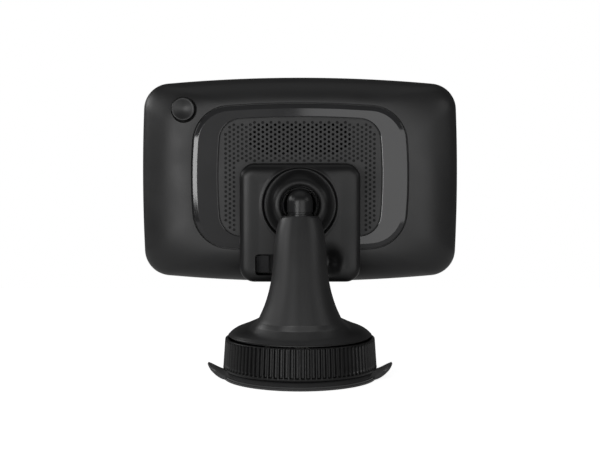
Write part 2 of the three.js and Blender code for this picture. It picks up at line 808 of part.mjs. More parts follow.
function dockRearShell() {
  const outside = loft(dockSections(0, dockBack, shellFront));
  const inside = loft(dockSections(dockWall, dockBack + dockWall, shellFront + overcut));
  const hub = bar(dishRadius + dishFloor, dockBack, dishBottom + dishFloor, { sides: roundSides });
  const channelWalls = channel(channelWall).intersect(outside);
  const groove = turned([
    [collarRadius, dockBack - overcut], [dishRadius + dishSlope, dockBack - overcut],
    [dishRadius - dishSlope, dishBottom], [collarRadius + dishSlope, dishBottom],
  ]);
  const mouth = bar(openingRadius + openingGap, dockBack - overcut, shellFront, { sides: roundSides });
  const seatBack = -fingerOuter * Math.sin(THREE.MathUtils.degToRad(seatAngle));
  const seat = bar(fingerOuter + fitGap, seatBack, shellFront,
    { sides: roundSides });
  const bosses = dockScrewPlaces.map(([x, y]) =>
    bar(dockBossRadius, dockBack + dockWall, shellFront, { x, y }).intersect(outside));
  const pilots = dockScrewPlaces.map(([x, y]) =>
    bar(screwRadius + fitGap, shellFront - dockPilotDepth, shellFront + overcut, { x, y }));
  return cut(
    join(outside.subtract(inside), hub.intersect(outside), channelWalls, ...bosses),
    groove,
    mouth,
    seat,
    channel(0),
    ...pilots,
  );
}

function fingerCollar() {
  const ring = turned(shellProfile(linerInner, fingerOuter, 180 - fingerEndAngle,
    180 - fingerStartAngle), 20);
  const flangeBack = dishBottom + dishFloor + fitGap;
  const flangeFront = flangeBack + fingerFlangeThickness;
  const neckBack = flangeBack - fingerNeck;
  const flange = turned([
    [linerInner + fingerNeckInset, neckBack], [fingerOuter, neckBack], [fingerOuter, flangeBack],
    [fingerFlangeRadius, flangeBack], [fingerFlangeRadius, flangeFront],
    [linerOuter + fingerFlangeGap, flangeFront],
  ]);
  const reach = fingerOuter + overcut;
  const slots = [45, 135].map((angle) =>
    block(-reach, reach, -fingerSlot / 2, fingerSlot / 2, dockBack - 2 * overcut,
      dishBottom + dishSlope)
      .rotate([0, 0, angle]));
  return cut(join(ring, flange), ...slots);
}

function seatLiner() {
  return cappedShell(linerInner, linerOuter, linerAngle);
}

function pressureCup() {
  return cappedShell(pressInner, pressOuter, cupAngle);
}

function pressureSpring() {
  const low = pressOuter + fitGap;
  return turned([
    [springInner, low], [springOuter, low + springCone],
    [springOuter, low + springCone + springThickness], [springInner, low + springThickness],
  ]);
}

function dockFrontPlate() {
  const springPocket = bar(springOuter + fitGap, plateBack - overcut,
    pressOuter + 2 * fitGap + springCone + springThickness, { sides: plainSides });
  const heads = dockScrewPlaces.map(([x, y]) =>
    bar(screwHeadRadius + fitGap, dockFront - screwHeadHeight - fitGap, dockFront + overcut, { x, y }));
  const shanks = dockScrewPlaces.map(([x, y]) =>
    bar(screwRadius + fitGap, plateBack - overcut, dockFront, { x, y }));
  const pinHoles = pinPlaces.map((x) =>
    bar(pinRadius + fitGap, plateBack - overcut, dockFront + overcut, { x, y: pinZ - ballZ }));
  return cut(slab(dockOutline(0, ballZ), plateBack, dockFront),
    springPocket, ...heads, ...shanks, ...pinHoles);
}

function dockMagnet() {
  return bar(magnetRadius, plateBack - fitGap - magnetThickness, plateBack - fitGap, { sides: plainSides });
}

const pinTip = dockFront + padSink; // a gap short of the pad, which lies as deep in its own hole
const pinBack = pinTip - pinLength;
const blockBack = pinBack + pinFlangeThickness + fitGap;
const dockBoardFront = pinBack - pinTravel - fitGap;

function contactPin() {
  return join(
    bar(pinRadius, pinBack, pinTip),
    bar(pinFlangeRadius, pinBack, pinBack + pinFlangeThickness),
  );
}

// the carrier behind the front plate that guides the pins and stands on the little board
function contactBlock() {
  const half = (pinCount * pinPitch) / 2;
  const y = pinZ - ballZ;
  const whole = block(-half, half, y - contactBlockHeight / 2,
    y + contactBlockHeight / 2, dockBoardFront + fitGap, plateBack - fitGap);
  const wells = pinPlaces.map((x) =>
    bar(pinFlangeRadius + fitGap, dockBoardFront, blockBack, { x, y }));
  const guides = pinPlaces.map((x) =>
    bar(pinRadius + fitGap, dockBoardFront, plateBack + overcut, { x, y }));
  return cut(whole, ...wells, ...guides);
}

function dockBoard() {
  return block(-dockBoardWidth / 2, dockBoardWidth / 2, channelY0 - dockBoardBelow,
    channelY1 + dockBoardAbove, dockBoardFront - dockBoardThickness, dockBoardFront);
}

// a charging socket whose mouth looks along -X into the channel
function usbReceptacle() {
  const x1 = channelEndX - fitGap;
  const y = (channelY0 + channelY1) / 2;
  const half = socketWidth / 2;
  const back = channelFloor - fitGap - socketThickness;
  const front = channelFloor - fitGap;
  const middle = (back + front) / 2;
  const whole = block(x1 - socketLength, x1, y - half, y + half, back, front);
  const mouth = block(x1 - socketLength - overcut, x1 - socketBack, y - half + socketWall,
    y + half - socketWall, back + socketWall, front - socketWall);
  const tongue = block(x1 - socketLength + tongueSetback, x1 - socketBack / 2,
    y - half + tongueGap, y + half - tongueGap,
    middle - tongueThickness / 2, middle + tongueThickness / 2);
  return join(cut(whole, mouth), tongue);
}

addPiece(dock, 'dock_rear_shell', dockRearShell(), materials.dockPlastic);
addPiece(dock, 'finger_collar', fingerCollar(), materials.dockPlastic);
addPiece(dock, 'seat_liner', seatLiner(), materials.linerPlastic);
addPiece(dock, 'pressure_cup', pressureCup(), materials.linerPlastic);
addPiece(dock, 'pressure_spring', pressureSpring(), materials.steel);
addPiece(dock, 'dock_front_plate', dockFrontPlate(), materials.dockPlastic);
addPiece(dock, 'contact_block', contactBlock(), materials.framePlastic);
addPiece(dock, 'dock_board', dockBoard(), materials.board);
addPiece(dock, 'usb_receptacle', usbReceptacle(), materials.steel);
magnetPlaces.forEach(([x, y], i) => {
  addPiece(dock, `dock_magnet_${i + 1}`, dockMagnet(), materials.magnet, [x, y, 0]);
});
dockScrewPlaces.forEach(([x, y], i) => {
  const piece = screw(dockScrewLength).rotate([180, 0, 0]).translate([0, 0, dockFront - screwHeadHeight]);
  addPiece(dock, `dock_screw_${i + 1}`, piece, materials.steel, [x, y, 0]);
});
pinPlaces.forEach((x, i) => {
  addPiece(dock, `contact_pin_${i + 1}`, contactPin(), materials.gold, [x, pinZ - ballZ, 0]);
});

// ---------- arm and base ----------
const plateBottomZ = dialBottomZ;
const plateTopZ = plateBottomZ + plateThickness;
const columnTopZ = armBottomZ - fitGap;
const camInner = columnRadius + fitGap;
const camOuter = camInner + camWall;
const plugZ = armTopZ - armPlugHeight;

// [height above the skirt's rim, radius]: a slim neck that flares into the skirt
const armStations = [
  [3, 25.4], [5, 22], [7.9, 18.4], [11.5, 16.4], [16.5, 14.4], [24.1, 12.4],
  [32, 11.4], [39, 10.9], [45.6, 10.1], [49, 9.3], [50.6, 9], [51.8, 8.4], [52.4, 7.4],
];

function armRadius(z) {
  const rise = Math.min(z - armBottomZ, armStations.at(-1)[0]);
  const above = Math.max(armStations.findIndex(([r]) => r >= rise), 1);
  const [r0, w0] = armStations[above - 1];
  const [r1, w1] = armStations[above];
  return THREE.MathUtils.mapLinear(rise, r0, r1, w0, w1);
}

// circles that share a straight, leaning back edge
function armSections(wall, z0, z1, sides) {
  const between = armStations.map(([rise]) => rise + armBottomZ)
    .filter((z) => z > z0 + fitGap && z < z1 - fitGap);
  return [z0, ...between, z1].map((z) => {
    const radius = armRadius(z);
    const back = Math.min(armBackTop + (armTopZ - z) * armBackSlope, skirtRadius - fitGap);
    return { outline: circleOutline(radius - wall, 0, back - radius, sides), z };
  });
}

// each step of the skirt lies inside its rim, above its foot, and takes a share of the wall
function skirt(wall) {
  const low = armBottomZ - (wall > 0 ? overcut : 0);
  const steps = skirtSteps.map(([inset, rise, share]) =>
    [skirtRadius - inset - wall, armBottomZ + rise - wall * share]);
  return turned([[0, low], [skirtRadius - wall, low], ...steps, [0, steps.at(-1)[1]]], skirtSides);
}

const baseScrewPlaces = [30, 150, 210, 330].map((degrees) => {
  const angle = THREE.MathUtils.degToRad(degrees);
  const radius = (columnRadius + columnBore) / 2;
  return [radius * Math.cos(angle), radius * Math.sin(angle)];
});

function armShell() {
  const lowest = armBottomZ + armStations[0][0];
  const outside = join(skirt(0), loft(armSections(0, lowest, armTopZ, 24)));
  const hollow = join(skirt(armWall), loft(armSections(armWall, lowest, plugZ, 12)));
  const floor = bar(skirtRadius - armWall / 2, armBottomZ, armBottomZ + armFloor, { sides: skirtSides });
  const bosses = baseScrewPlaces.map(([x, y]) =>
    bar(armBossRadius, armBottomZ, armBottomZ + armBossHeight, { x, y }).intersect(outside));
  const pilots = baseScrewPlaces.map(([x, y]) =>
    bar(screwRadius + fitGap, armBottomZ - overcut, armBottomZ + armPilotHeight, { x, y }));
  return cut(
    join(outside.subtract(hollow), floor, ...bosses),
    bar(columnBore, armBottomZ - overcut, armBottomZ + armFloor + overcut, { sides: plainSides }),
    bar(stemRadius + fitGap, plugZ - overcut, armTopZ + overcut, { y: stemY, sides: plainSides }),
    ...pilots,
  );
}

// a post standing in the arm, an elbow and a neck that carries the ball
function ballStem() {
  const elbowZ = ballZ + elbowRise;
  const low = armTopZ - stemDepth;
  const post = bar(stemRadius, low, elbowZ, { y: stemY, sides: plainSides });
  const elbow = new THREE.SphereGeometry(stemRadius, 20, 8);
  elbow.rotateX(Math.PI / 2);
  elbow.translate(0, stemY, elbowZ);
  const ball = new THREE.SphereGeometry(ballRadius, 20, 10);
  ball.rotateX(Math.PI / 2);
  ball.translate(0, ballY, ballZ);
  const neck = new THREE.CylinderGeometry(neckRadius, neckRadius, stemY - ballY, 16);
  neck.translate(0, (ballY + stemY) / 2, ballZ);
  const thread = bar(stemScrewRadius + stemThread / 2, low - overcut,
    low + stemThreadLength, { y: stemY });
  return join(post, toSolid(elbow), toSolid(ball), toSolid(neck)).subtract(thread);
}

function stemWasher() {
  const top = plugZ - fitGap;
  return slab(circleOutline(stemRadius + washerRim, 0, stemY), top - washerThickness, top,
    circleOutline(stemScrewRadius + fitGap, 0, stemY, 16));
}

function stemScrew() {
  const washerBottom = plugZ - fitGap - washerThickness;
  const headTop = washerBottom - fitGap;
  return join(
    bar(stemScrewHead, headTop - stemScrewHeadHeight, headTop, { y: stemY }),
    bar(stemScrewRadius - stemThread, headTop - stemScrewLap, armTopZ - stemDepth + stemScrewReach,
      { y: stemY }),
  );
}

function lockingDial() {
  const inner = plateRadius + runGap;
  const webTop = dialWebZ + dialWebThickness;
  return turned([
    [camOuter + fitGap, dialWebZ], [inner, dialWebZ], [inner, dialBottomZ],
    [dialBottomRadius, dialBottomZ], [dialTopRadius, dialTopZ], [dialTopRadius - dialWall, dialTopZ],
    [dialTopRadius - dialWall, webTop], [camOuter + fitGap, webTop],
  ], dialSides);
}

// a ring whose top face climbs camLift over a quarter turn, twice round
function camRing() {
  const count = 360 / camStep;
  const positions = [];
  const index = [];
  for (let i = 0; i < count; i += 1) {
    const angle = THREE.MathUtils.degToRad(i * camStep);
    const back = THREE.MathUtils.euclideanModulo(dialTurn - i * camStep, camPeriod); // from a lug
    const climb = THREE.MathUtils.clamp((back - camStartAngle) / dialTurn, 0, 1);
    const high = camLowZ + (back > camPeriod - camStartAngle - camStep / 2 ? 0 : camLift * climb);
    const corners = [[camInner, dialWebZ], [camOuter, dialWebZ], [camOuter, high], [camInner, high]];
    corners.forEach(([r, z]) => positions.push(r * Math.cos(angle), r * Math.sin(angle), z));
    const next = (i + 1) % count;
    for (let side = 0; side < 4; side += 1) {
      const a = i * 4 + side;
      const b = i * 4 + ((side + 1) % 4);
      const c = next * 4 + ((side + 1) % 4);
      const d = next * 4 + side;
      index.push(a, c, b, a, d, c);
    }
  }
  const geometry = new THREE.BufferGeometry();
  geometry.setAttribute('position', new THREE.Float32BufferAttribute(positions, 3));
  geometry.setIndex(index);
  return toSolid(geometry);
}

function basePlate() {
  const disc = bar(plateRadius, plateBottomZ, plateTopZ, { sides: skirtSides });
  const column = bar(columnRadius, plateBottomZ, columnTopZ, { sides: roundSides });
  const bore = bar(columnBore, plateBottomZ - overcut, columnTopZ + overcut, { sides: roundSides });
  const notch = block(-notchWidth / 2, notchWidth / 2, -2 * columnRadius, 2 * columnRadius,
    notchFloorZ, columnTopZ + overcut);
  const shanks = baseScrewPlaces.map(([x, y]) =>
    bar(screwRadius + fitGap, plateBottomZ - overcut, columnTopZ + overcut, { x, y }));
  const sunk = baseScrewPlaces.map(([x, y]) =>
    bar(screwHeadRadius + fitGap, plateBottomZ - overcut, plateBottomZ + screwHeadHeight + fitGap,
      { x, y }));
  return cut(join(disc, column), bore, notch, ...shanks, ...sunk);
}

// a hub with two lugs that pass through the column's notches and lie on the cam
function plunger() {
  const low = camLowZ + fitGap;
  const foot = low - plungerFoot;
  const hub = bar(columnBore - fitGap, foot, foot + plungerHeight, { sides: plainSides });
  const reach = camOuter - runGap;
  const lugs = block(-lugWidth / 2, lugWidth / 2, -reach, reach, low, low + lugHeight);
  const bore = bar(studRadius + fitGap, foot - overcut, foot + plungerHeight + overcut,
    { sides: plainSides });
  return cut(join(hub, lugs), bore);
}

function cupStud() {
  const low = cupThickness + fitGap;
  return join(
    bar(studFlangeRadius, low, low + studFlangeThickness, { sides: plainSides }),
    bar(studRadius, low, low + studFlangeThickness + studLength, { sides: plainSides }),
  );
}

// a flat-footed disc with two pull tabs that curl up at its sides
function suctionCup() {
  const disc = turned([
    [0, 0], [cupRadius, 0], [cupRadius, cupRimThickness],
    [cupShoulderRadius, cupThickness], [0, cupThickness],
  ], dialSides);
  const start = cupRadius - tabOverlap;
  const middle = (start + tabReach) / 2 + tabBend;
  const lower = new THREE.QuadraticBezierCurve(new THREE.Vector2(start, 0),
    new THREE.Vector2(middle, 0), new THREE.Vector2(tabReach, tabTipZ)).getPoints(tabSteps);
  const upper = new THREE.QuadraticBezierCurve(
    new THREE.Vector2(tabReach - tabThickness, tabTipZ + tabThickness / 2),
    new THREE.Vector2(middle - tabBend / 2, tabRootThickness),
    new THREE.Vector2(start, tabRootThickness)).getPoints(tabSteps);
  const tab = new THREE.ExtrudeGeometry(new THREE.Shape([...lower, ...upper]),
    { depth: tabWidth, bevelEnabled: false });
  tab.rotateX(Math.PI / 2);
  tab.translate(0, tabWidth / 2, 0);
  const solid = toSolid(tab);
  return join(disc, solid, solid.rotate([0, 0, 180]));
}

addPiece(base, 'arm_shell', armShell(), materials.armPlastic);
addPiece(base, 'ball_stem', ballStem(), materials.stemPlastic);
addPiece(base, 'stem_washer', stemWasher(), materials.steel);
addPiece(base, 'stem_screw', stemScrew(), materials.steel);
addPiece(base, 'locking_dial', lockingDial(), materials.dialRubber);
addPiece(base, 'cam_ring', camRing(), materials.linerPlastic);
addPiece(base, 'base_plate', basePlate(), materials.framePlastic);
addPiece(base, 'plunger', plunger(), materials.linerPlastic);
addPiece(base, 'cup_stud', cupStud(), materials.framePlastic);
addPiece(base, 'suction_cup', suctionCup(), materials.cupRubber);
baseScrewPlaces.forEach(([x, y], i) => {
  const length = armBottomZ + baseScrewReach - plateBottomZ - screwHeadHeight;
  addPiece(base, `base_screw_${i + 1}`, screw(length), materials.steel,
    [x, y, plateBottomZ + screwHeadHeight]);
});

export default navigator;
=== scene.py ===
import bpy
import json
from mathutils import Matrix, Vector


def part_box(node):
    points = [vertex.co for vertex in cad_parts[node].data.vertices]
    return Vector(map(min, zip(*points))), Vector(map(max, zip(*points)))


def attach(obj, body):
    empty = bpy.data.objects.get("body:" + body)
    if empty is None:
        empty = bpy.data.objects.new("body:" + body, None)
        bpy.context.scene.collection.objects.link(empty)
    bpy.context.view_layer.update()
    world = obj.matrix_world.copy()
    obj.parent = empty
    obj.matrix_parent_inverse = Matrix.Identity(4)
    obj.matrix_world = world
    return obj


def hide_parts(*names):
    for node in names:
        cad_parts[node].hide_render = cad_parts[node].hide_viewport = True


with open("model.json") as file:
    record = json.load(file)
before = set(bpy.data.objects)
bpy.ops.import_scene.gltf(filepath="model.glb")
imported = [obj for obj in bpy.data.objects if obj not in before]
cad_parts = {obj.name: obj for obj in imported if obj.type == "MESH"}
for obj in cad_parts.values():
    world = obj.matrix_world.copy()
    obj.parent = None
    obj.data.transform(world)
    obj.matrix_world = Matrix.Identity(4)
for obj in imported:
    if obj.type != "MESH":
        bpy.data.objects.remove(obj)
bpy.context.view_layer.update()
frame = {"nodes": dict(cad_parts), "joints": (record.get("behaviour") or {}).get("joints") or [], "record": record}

import json
import math

import bpy
import numpy as np
from bpy.props import FloatProperty, FloatVectorProperty, IntProperty, PointerProperty
from bpy.types import Operator, Panel, PropertyGroup
from mathutils import Vector
from mathutils.geometry import delaunay_2d_cdt

bl_info = {
    "name": "Portable Navigator",
    "version": (1, 0, 0),
    "blender": (4, 5, 0),
    "location": "3D View > Sidebar > Navigator",
    "description": "Builds the visible skins, finishes and stage of a portable navigator on its mount",
    "category": "Object",
}

MM = 0.001
TURN = 2 * math.pi

HEAD_LOW, HEAD_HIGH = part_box("front_frame")
COVER_LOW, COVER_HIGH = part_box("rear_cover")
TRIM_LOW, TRIM_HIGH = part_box("trim_ring")
GRILLE_LOW, GRILLE_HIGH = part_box("speaker_grille")
BUTTON_LOW, BUTTON_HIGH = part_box("power_button")
GLASS_LOW, GLASS_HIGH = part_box("touch_glass")
DISPLAY_LOW, DISPLAY_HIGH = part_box("display_panel")
DOCK_LOW, DOCK_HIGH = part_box("dock_rear_shell")
LINER_LOW, LINER_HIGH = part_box("seat_liner")
ARM_LOW, ARM_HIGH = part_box("arm_shell")
STEM_LOW, STEM_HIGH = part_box("ball_stem")
DIAL_LOW, DIAL_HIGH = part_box("locking_dial")
CUP_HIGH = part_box("suction_cup")[1]
SPEAKER_LOW, SPEAKER_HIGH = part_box("speaker_basket")
HEAD_MID = (HEAD_LOW + HEAD_HIGH) / 2
DOCK_MID = (DOCK_LOW + DOCK_HIGH) / 2
BALL = (LINER_LOW + LINER_HIGH) / 2
BALL.y = next(j["pos_m"][1] for j in frame["joints"] if j["name"] == "ball_roll")
BALL_RADIUS = 7 * MM
POST_RADIUS = 5.4 * MM
BUTTON_FLANGE = 1.2 * MM
TRIM_ARCS = (0.44, 0.206)
TRIM_CORNER = 16.6 * MM
TRIM_RISE = 1.1 * MM
TRIM_HEIGHT = 66.2 * MM
GRILLE_SIZE = (73.8 * MM, 54 * MM)
GRILLE_CORNER = 9.8 * MM
POCKET_GAP = 0.4 * MM  # between the dock and the pocket it sits in
SPEAKER_LEDGE = 1.6 * MM  # of the cover, under the speaker's edge


# ---------- sizes and colours a user may change ----------
def length(name, description, default):
    """A length that a user may change."""
    return FloatProperty(name=name, description=description, default=default, unit="LENGTH")


def colour(name, description, default):
    """A colour that a user may change."""
    return FloatVectorProperty(
        name=name, description=description, default=default, subtype="COLOR", min=0, max=1)


class HeadSettings(PropertyGroup):
    corner: length("Corner", "Radius of the head's corners", 12 * MM)
    top_arc: length("Top arc", "Radius of the bulging top edge", 0.68)
    side_arc: length("Side arc", "Radius of the bulging sides", 0.74)
    wall: length("Wall", "Thickness of the rear cover", 2 * MM)
    bevel: length("Trim bevel", "Width of the trim's outer bevel", 2.0 * MM)
    hole_radius: length("Hole radius", "Radius of one speaker hole", 0.66 * MM)
    hole_pitch: length("Hole pitch", "Distance between holes in one column", 2.14 * MM)


class DockSettings(PropertyGroup):
    corner: length("Corner", "Radius of the dock's corners", 6.5 * MM)
    crown: length("Crown", "How far the back bends away at its sides", 0.9 * MM)
    fingers: IntProperty(
        name="Fingers", description="Fingers that hold the ball", default=4, min=3, max=8)


class BaseSettings(PropertyGroup):
    ribs: IntProperty(
        name="Ribs", description="Ribs round the locking dial", default=92, min=24, max=160)
    rib_depth: length("Rib depth", "Depth of the grooves between ribs", 1.1 * MM)
    arm_lean: FloatProperty(
        name="Arm lean", description="How far the arm's back edge runs out per unit down",
        default=0.26)


class FinishSettings(PropertyGroup):
    cover: colour("Cover", "Colour of the rear cover", (0.015, 0.015, 0.0154))
    trim: colour("Trim", "Colour of the trim ring", (0.026, 0.026, 0.027))
    dock: colour("Dock", "Colour of the dock", (0.010, 0.010, 0.0103))
    arm: colour("Arm", "Colour of the arm", (0.017, 0.017, 0.0174))
    dial: colour("Dial", "Colour of the dial", (0.006, 0.006, 0.0062))
    cup: colour("Cup", "Colour of the suction cup", (0.05, 0.05, 0.051))


class StageSettings(PropertyGroup):
    lens: FloatProperty(
        name="Lens", description="Focal length of the camera in millimetres", default=62.1)
    distance: length("Distance", "Camera to the foot's axis", 0.445)
    key: FloatProperty(name="Key", description="Radiance of the left softbox", default=8.5)
    fill: FloatProperty(name="Fill", description="Radiance of the right softbox", default=1.9)
    top: FloatProperty(name="Top", description="Radiance of the overhead softbox", default=0.3)
    floor: colour("Floor", "Colour of the floor", (0.9, 0.9, 0.9))


# ---------- outlines ----------
def arc(centre, radius, start, end, count):
    """Points of a circle: centre + radius (cos t, sin t), t from start to end in even steps."""
    t = np.linspace(start, end, count)
    return np.stack([centre[0] + radius * np.cos(t), centre[1] + radius * np.sin(t)], 1)


def mirrored(quarter):
    """A quarter outline from +X to +Z, mirrored into a whole one without double points."""
    half = np.vstack([quarter, (quarter * (-1, 1))[-2::-1]])
    return np.vstack([half, (half * (1, -1))[-2:0:-1]])


def bulged_outline(width, height, top_arc, side_arc, corner, rise=0.0, counts=(22, 18, 30)):
    """Four shallow arcs joined by tangent corners. The corner's centre lies side_arc - corner from
    the side arc's centre and top_arc - corner from the top arc's, so two circles give it."""
    side = np.array([width / 2 - side_arc, 0.0])
    top = np.array([0.0, height / 2 - top_arc])
    gap = np.linalg.norm(top - side)
    unit = (top - side) / gap
    along = (gap**2 + (side_arc - corner) ** 2 - (top_arc - corner) ** 2) / (2 * gap)
    across = math.sqrt((side_arc - corner) ** 2 - along**2)
    centre = side + unit * along + np.array([-unit[1], unit[0]]) * across
    side_end = math.atan2(*(centre - side)[::-1])
    top_start = math.atan2(*(centre - top)[::-1])
    quarter = np.vstack([
        arc(side, side_arc, 0, side_end, counts[0]),
        arc(centre, corner, side_end, top_start, counts[1])[1:-1],
        arc(top, top_arc, top_start, math.pi / 2, counts[2]),
    ])
    return mirrored(quarter) + (0, rise)


def rounded_outline(width, height, corner, rise=0.0, straight=16, bend=14):
    """A rectangle with round corners: even points on its sides and quarter circles at its corners."""
    x, z = width / 2, height / 2
    side = np.stack([np.full(straight, x), np.linspace(0, z - corner, straight)], 1)
    turn = arc((x - corner, z - corner), corner, 0, math.pi / 2, bend)[1:-1]
    top = np.stack([np.linspace(x - corner, 0, straight), np.full(straight, z)], 1)
    return mirrored(np.vstack([side, turn, top])) + (0, rise)


def head_outline(inset=0.0):
    """The head's outline drawn inset from its edge, about the head's centre."""
    head = bpy.context.scene.navigator_head
    return bulged_outline(HEAD_HIGH.x - HEAD_LOW.x - 2 * inset, HEAD_HIGH.z - HEAD_LOW.z - 2 * inset,
                          head.top_arc, head.side_arc, head.corner - inset)


def trim_outline(inset=0.0):
    """The trim's outer outline, about the head's centre."""
    return bulged_outline(TRIM_HIGH.x - TRIM_LOW.x - 2 * inset, TRIM_HEIGHT - 2 * inset,
                          *TRIM_ARCS, TRIM_CORNER - inset, TRIM_RISE)


def grille_outline(inset=0.0):
    """The grille's outline, about the head's centre."""
    return bulged_outline(GRILLE_SIZE[0] - 2 * inset, GRILLE_SIZE[1] - 2 * inset, *TRIM_ARCS,
                          GRILLE_CORNER - inset, TRIM_RISE)


def dock_outline(inset=0.0):
    """The dock's outline, about the ball's axis."""
    dock = bpy.context.scene.navigator_dock
    width, height = DOCK_HIGH.x - DOCK_LOW.x, DOCK_HIGH.z - DOCK_LOW.z
    return rounded_outline(width - 2 * inset, height - 2 * inset, max(dock.corner - inset, 0.5 * MM),
                           DOCK_MID.z - BALL.z)


# ---------- meshes ----------
def ring(outline, y, middle):
    """An outline in XZ about middle, set at depth y."""
    return np.stack([outline[:, 0] + middle.x, np.full(len(outline), y), outline[:, 1] + middle.z], 1)


def grid_faces(rows, columns, wrap=True):
    """Quads between neighbouring rows of a grid, numbered row by row."""
    r, c = np.meshgrid(np.arange(rows - 1), np.arange(columns if wrap else columns - 1), indexing="ij")
    a = r * columns + c
    b = r * columns + (c + 1) % columns
    return np.stack([a, b, b + columns, a + columns], -1).reshape(-1, 4)


def skin(rows):
    """A closed surface through rings of equal count, its two ends closed by a fan round the middle
    of the end ring. Returns vertices and faces."""
    rows = np.asarray(rows, float)
    count, columns = rows.shape[:2]
    vertices = np.vstack([rows.reshape(-1, 3), rows[0].mean(0), rows[-1].mean(0)])
    quads = grid_faces(count, columns)
    i = np.arange(columns)
    first, last = count * columns, count * columns + 1
    start = np.stack([np.full(columns, first), (i + 1) % columns, i], 1)
    top = (count - 1) * columns
    end = np.stack([np.full(columns, last), top + i, top + (i + 1) % columns], 1)
    return vertices, quads.tolist() + start.tolist() + end.tolist()


def band(rows):
    """A closed surface through rings that return to the first one, such as a ring with a hole."""
    rows = np.asarray(rows, float)
    count, columns = rows.shape[:2]
    return rows.reshape(-1, 3), (
        np.vstack([grid_faces(count, columns), wrap_faces(count, columns)]).tolist())


def wrap_faces(rows, columns):
    """Quads from a grid's last row back to its first."""
    i = np.arange(columns)
    last = (rows - 1) * columns
    return np.stack([last + i, last + (i + 1) % columns, (i + 1) % columns, i], 1)


def lathe(profile, count, centre=(0, 0)):
    """Rings of radius and height pairs turned round Z: (r cos t, r sin t, h)."""
    profile = np.asarray(profile, float)
    t = np.arange(count) * TURN / count
    r, h = profile[:, :1], profile[:, 1:]
    return np.stack([centre[0] + r * np.cos(t), centre[1] + r * np.sin(t),
                     np.broadcast_to(h, (len(profile), count))], -1)


def facing_back(rows, origin):
    """Turns rings made round Z so that their height runs along +Y from origin."""
    rows = np.asarray(rows)
    return np.stack([rows[..., 0] + origin.x, rows[..., 2] + origin.y, rows[..., 1] + origin.z], -1)


def rounded_profile(points, radii, steps=5):
    """A polyline whose inner corners are swapped for quadratic curves that start a radius away."""
    points = np.asarray(points, float)
    out = [points[:1]]
    for i, radius in enumerate(radii, 1):
        before, here, after = points[i - 1], points[i], points[i + 1]
        a = here + (before - here) * min(0.5, radius / max(np.linalg.norm(before - here), radius))
        b = here + (after - here) * min(0.5, radius / max(np.linalg.norm(after - here), radius))
        t = np.linspace(0, 1, steps)[:, None]
        out.append((1 - t) ** 2 * a + 2 * t * (1 - t) * here + t**2 * b)
    out.append(points[-1:])
    return np.vstack(out)


def signed_volume(mesh):
    """The mesh's volume, negative where its faces point inwards: the sum of a . (b x c) / 6."""
    mesh.calc_loop_triangles()
    corners = np.empty(len(mesh.loop_triangles) * 3, np.int32)
    mesh.loop_triangles.foreach_get("vertices", corners)
    places = np.empty(len(mesh.vertices) * 3, np.float32)
    mesh.vertices.foreach_get("co", places)
    a, b, c = places.reshape(-1, 3).astype(float)[corners.reshape(-1, 3)].transpose(1, 0, 2)
    return np.einsum("ij,ij->", a, np.cross(b, c)) / 6


def crease(mesh, degrees):
    """Smooth faces, with an edge sharp where its two faces meet at more than the angle."""
    mesh.polygons.foreach_set("use_smooth", np.ones(len(mesh.polygons), bool))
    edge = np.empty(len(mesh.loops), np.int32)
    mesh.loops.foreach_get("edge_index", edge)
    sides = np.empty(len(mesh.polygons), np.int32)
    mesh.polygons.foreach_get("loop_total", sides)
    normals = np.empty(len(mesh.polygons) * 3, np.float32)
    mesh.polygons.foreach_get("normal", normals)
    normals = normals.reshape(-1, 3)
    face = np.repeat(np.arange(len(sides)), sides)
    order = np.argsort(edge, kind="stable")
    edge, face = edge[order], face[order]
    pair = np.flatnonzero(edge[1:] == edge[:-1])
    agree = np.einsum("ij,ij->i", normals[face[pair]], normals[face[pair + 1]])
    sharp = np.zeros(len(mesh.edges), bool)
    sharp[edge[pair[agree < math.cos(math.radians(degrees))]]] = True
    layer = mesh.attributes.get("sharp_edge") or mesh.attributes.new("sharp_edge", "BOOLEAN", "EDGE")
    layer.data.foreach_set("value", sharp)
    mesh.update()


def raw_object(name, vertices, faces):
    """A linked mesh object whose faces point outwards."""
    mesh = bpy.data.meshes.new(name)
    mesh.from_pydata(np.asarray(vertices).tolist(), [], faces)
    if signed_volume(mesh) < 0:
        mesh.flip_normals()
    mesh.update()
    piece = bpy.data.objects.new(name, mesh)
    bpy.context.scene.collection.objects.link(piece)
    return piece


def boolean(piece, other, operation):
    """Adds a step that joins the piece with another solid or cuts it by one."""
    step = piece.modifiers.new(operation, "BOOLEAN")
    step.operation, step.solver, step.object = operation, "EXACT", other


def carve(piece, cutters, spares=()):
    """Takes the cutters' volumes out of the piece, once its earlier steps are done, and removes the
    cutters and the spares that those steps used."""
    for cutter in cutters:
        boolean(piece, cutter, "DIFFERENCE")
    bpy.context.view_layer.update()
    shown = piece.evaluated_get(bpy.context.evaluated_depsgraph_get())
    carved = bpy.data.meshes.new_from_object(shown)
    piece.modifiers.clear()
    old, piece.data = piece.data, carved
    carved.name = piece.name
    bpy.data.meshes.remove(old)
    for spare in (*cutters, *spares):
        bpy.data.objects.remove(spare)
    if not carved.polygons:
        raise RuntimeError(f"{piece.name} was carved away")


def finish_piece(piece, body, slot, node_name, angle):
    """Shades the piece, gives it its body and the slot's material, and hides the CAD node
    it stands for."""
    crease(piece.data, angle)
    piece.data.materials.clear()
    piece.data.materials.append(material_for(slot))
    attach(piece, body)
    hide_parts(node_name)


def prism(name, outline, y0, y1, middle):
    """A straight block with the outline, from depth y0 to y1."""
    return raw_object(name, *skin([ring(outline, y0, middle), ring(outline, y1, middle)]))


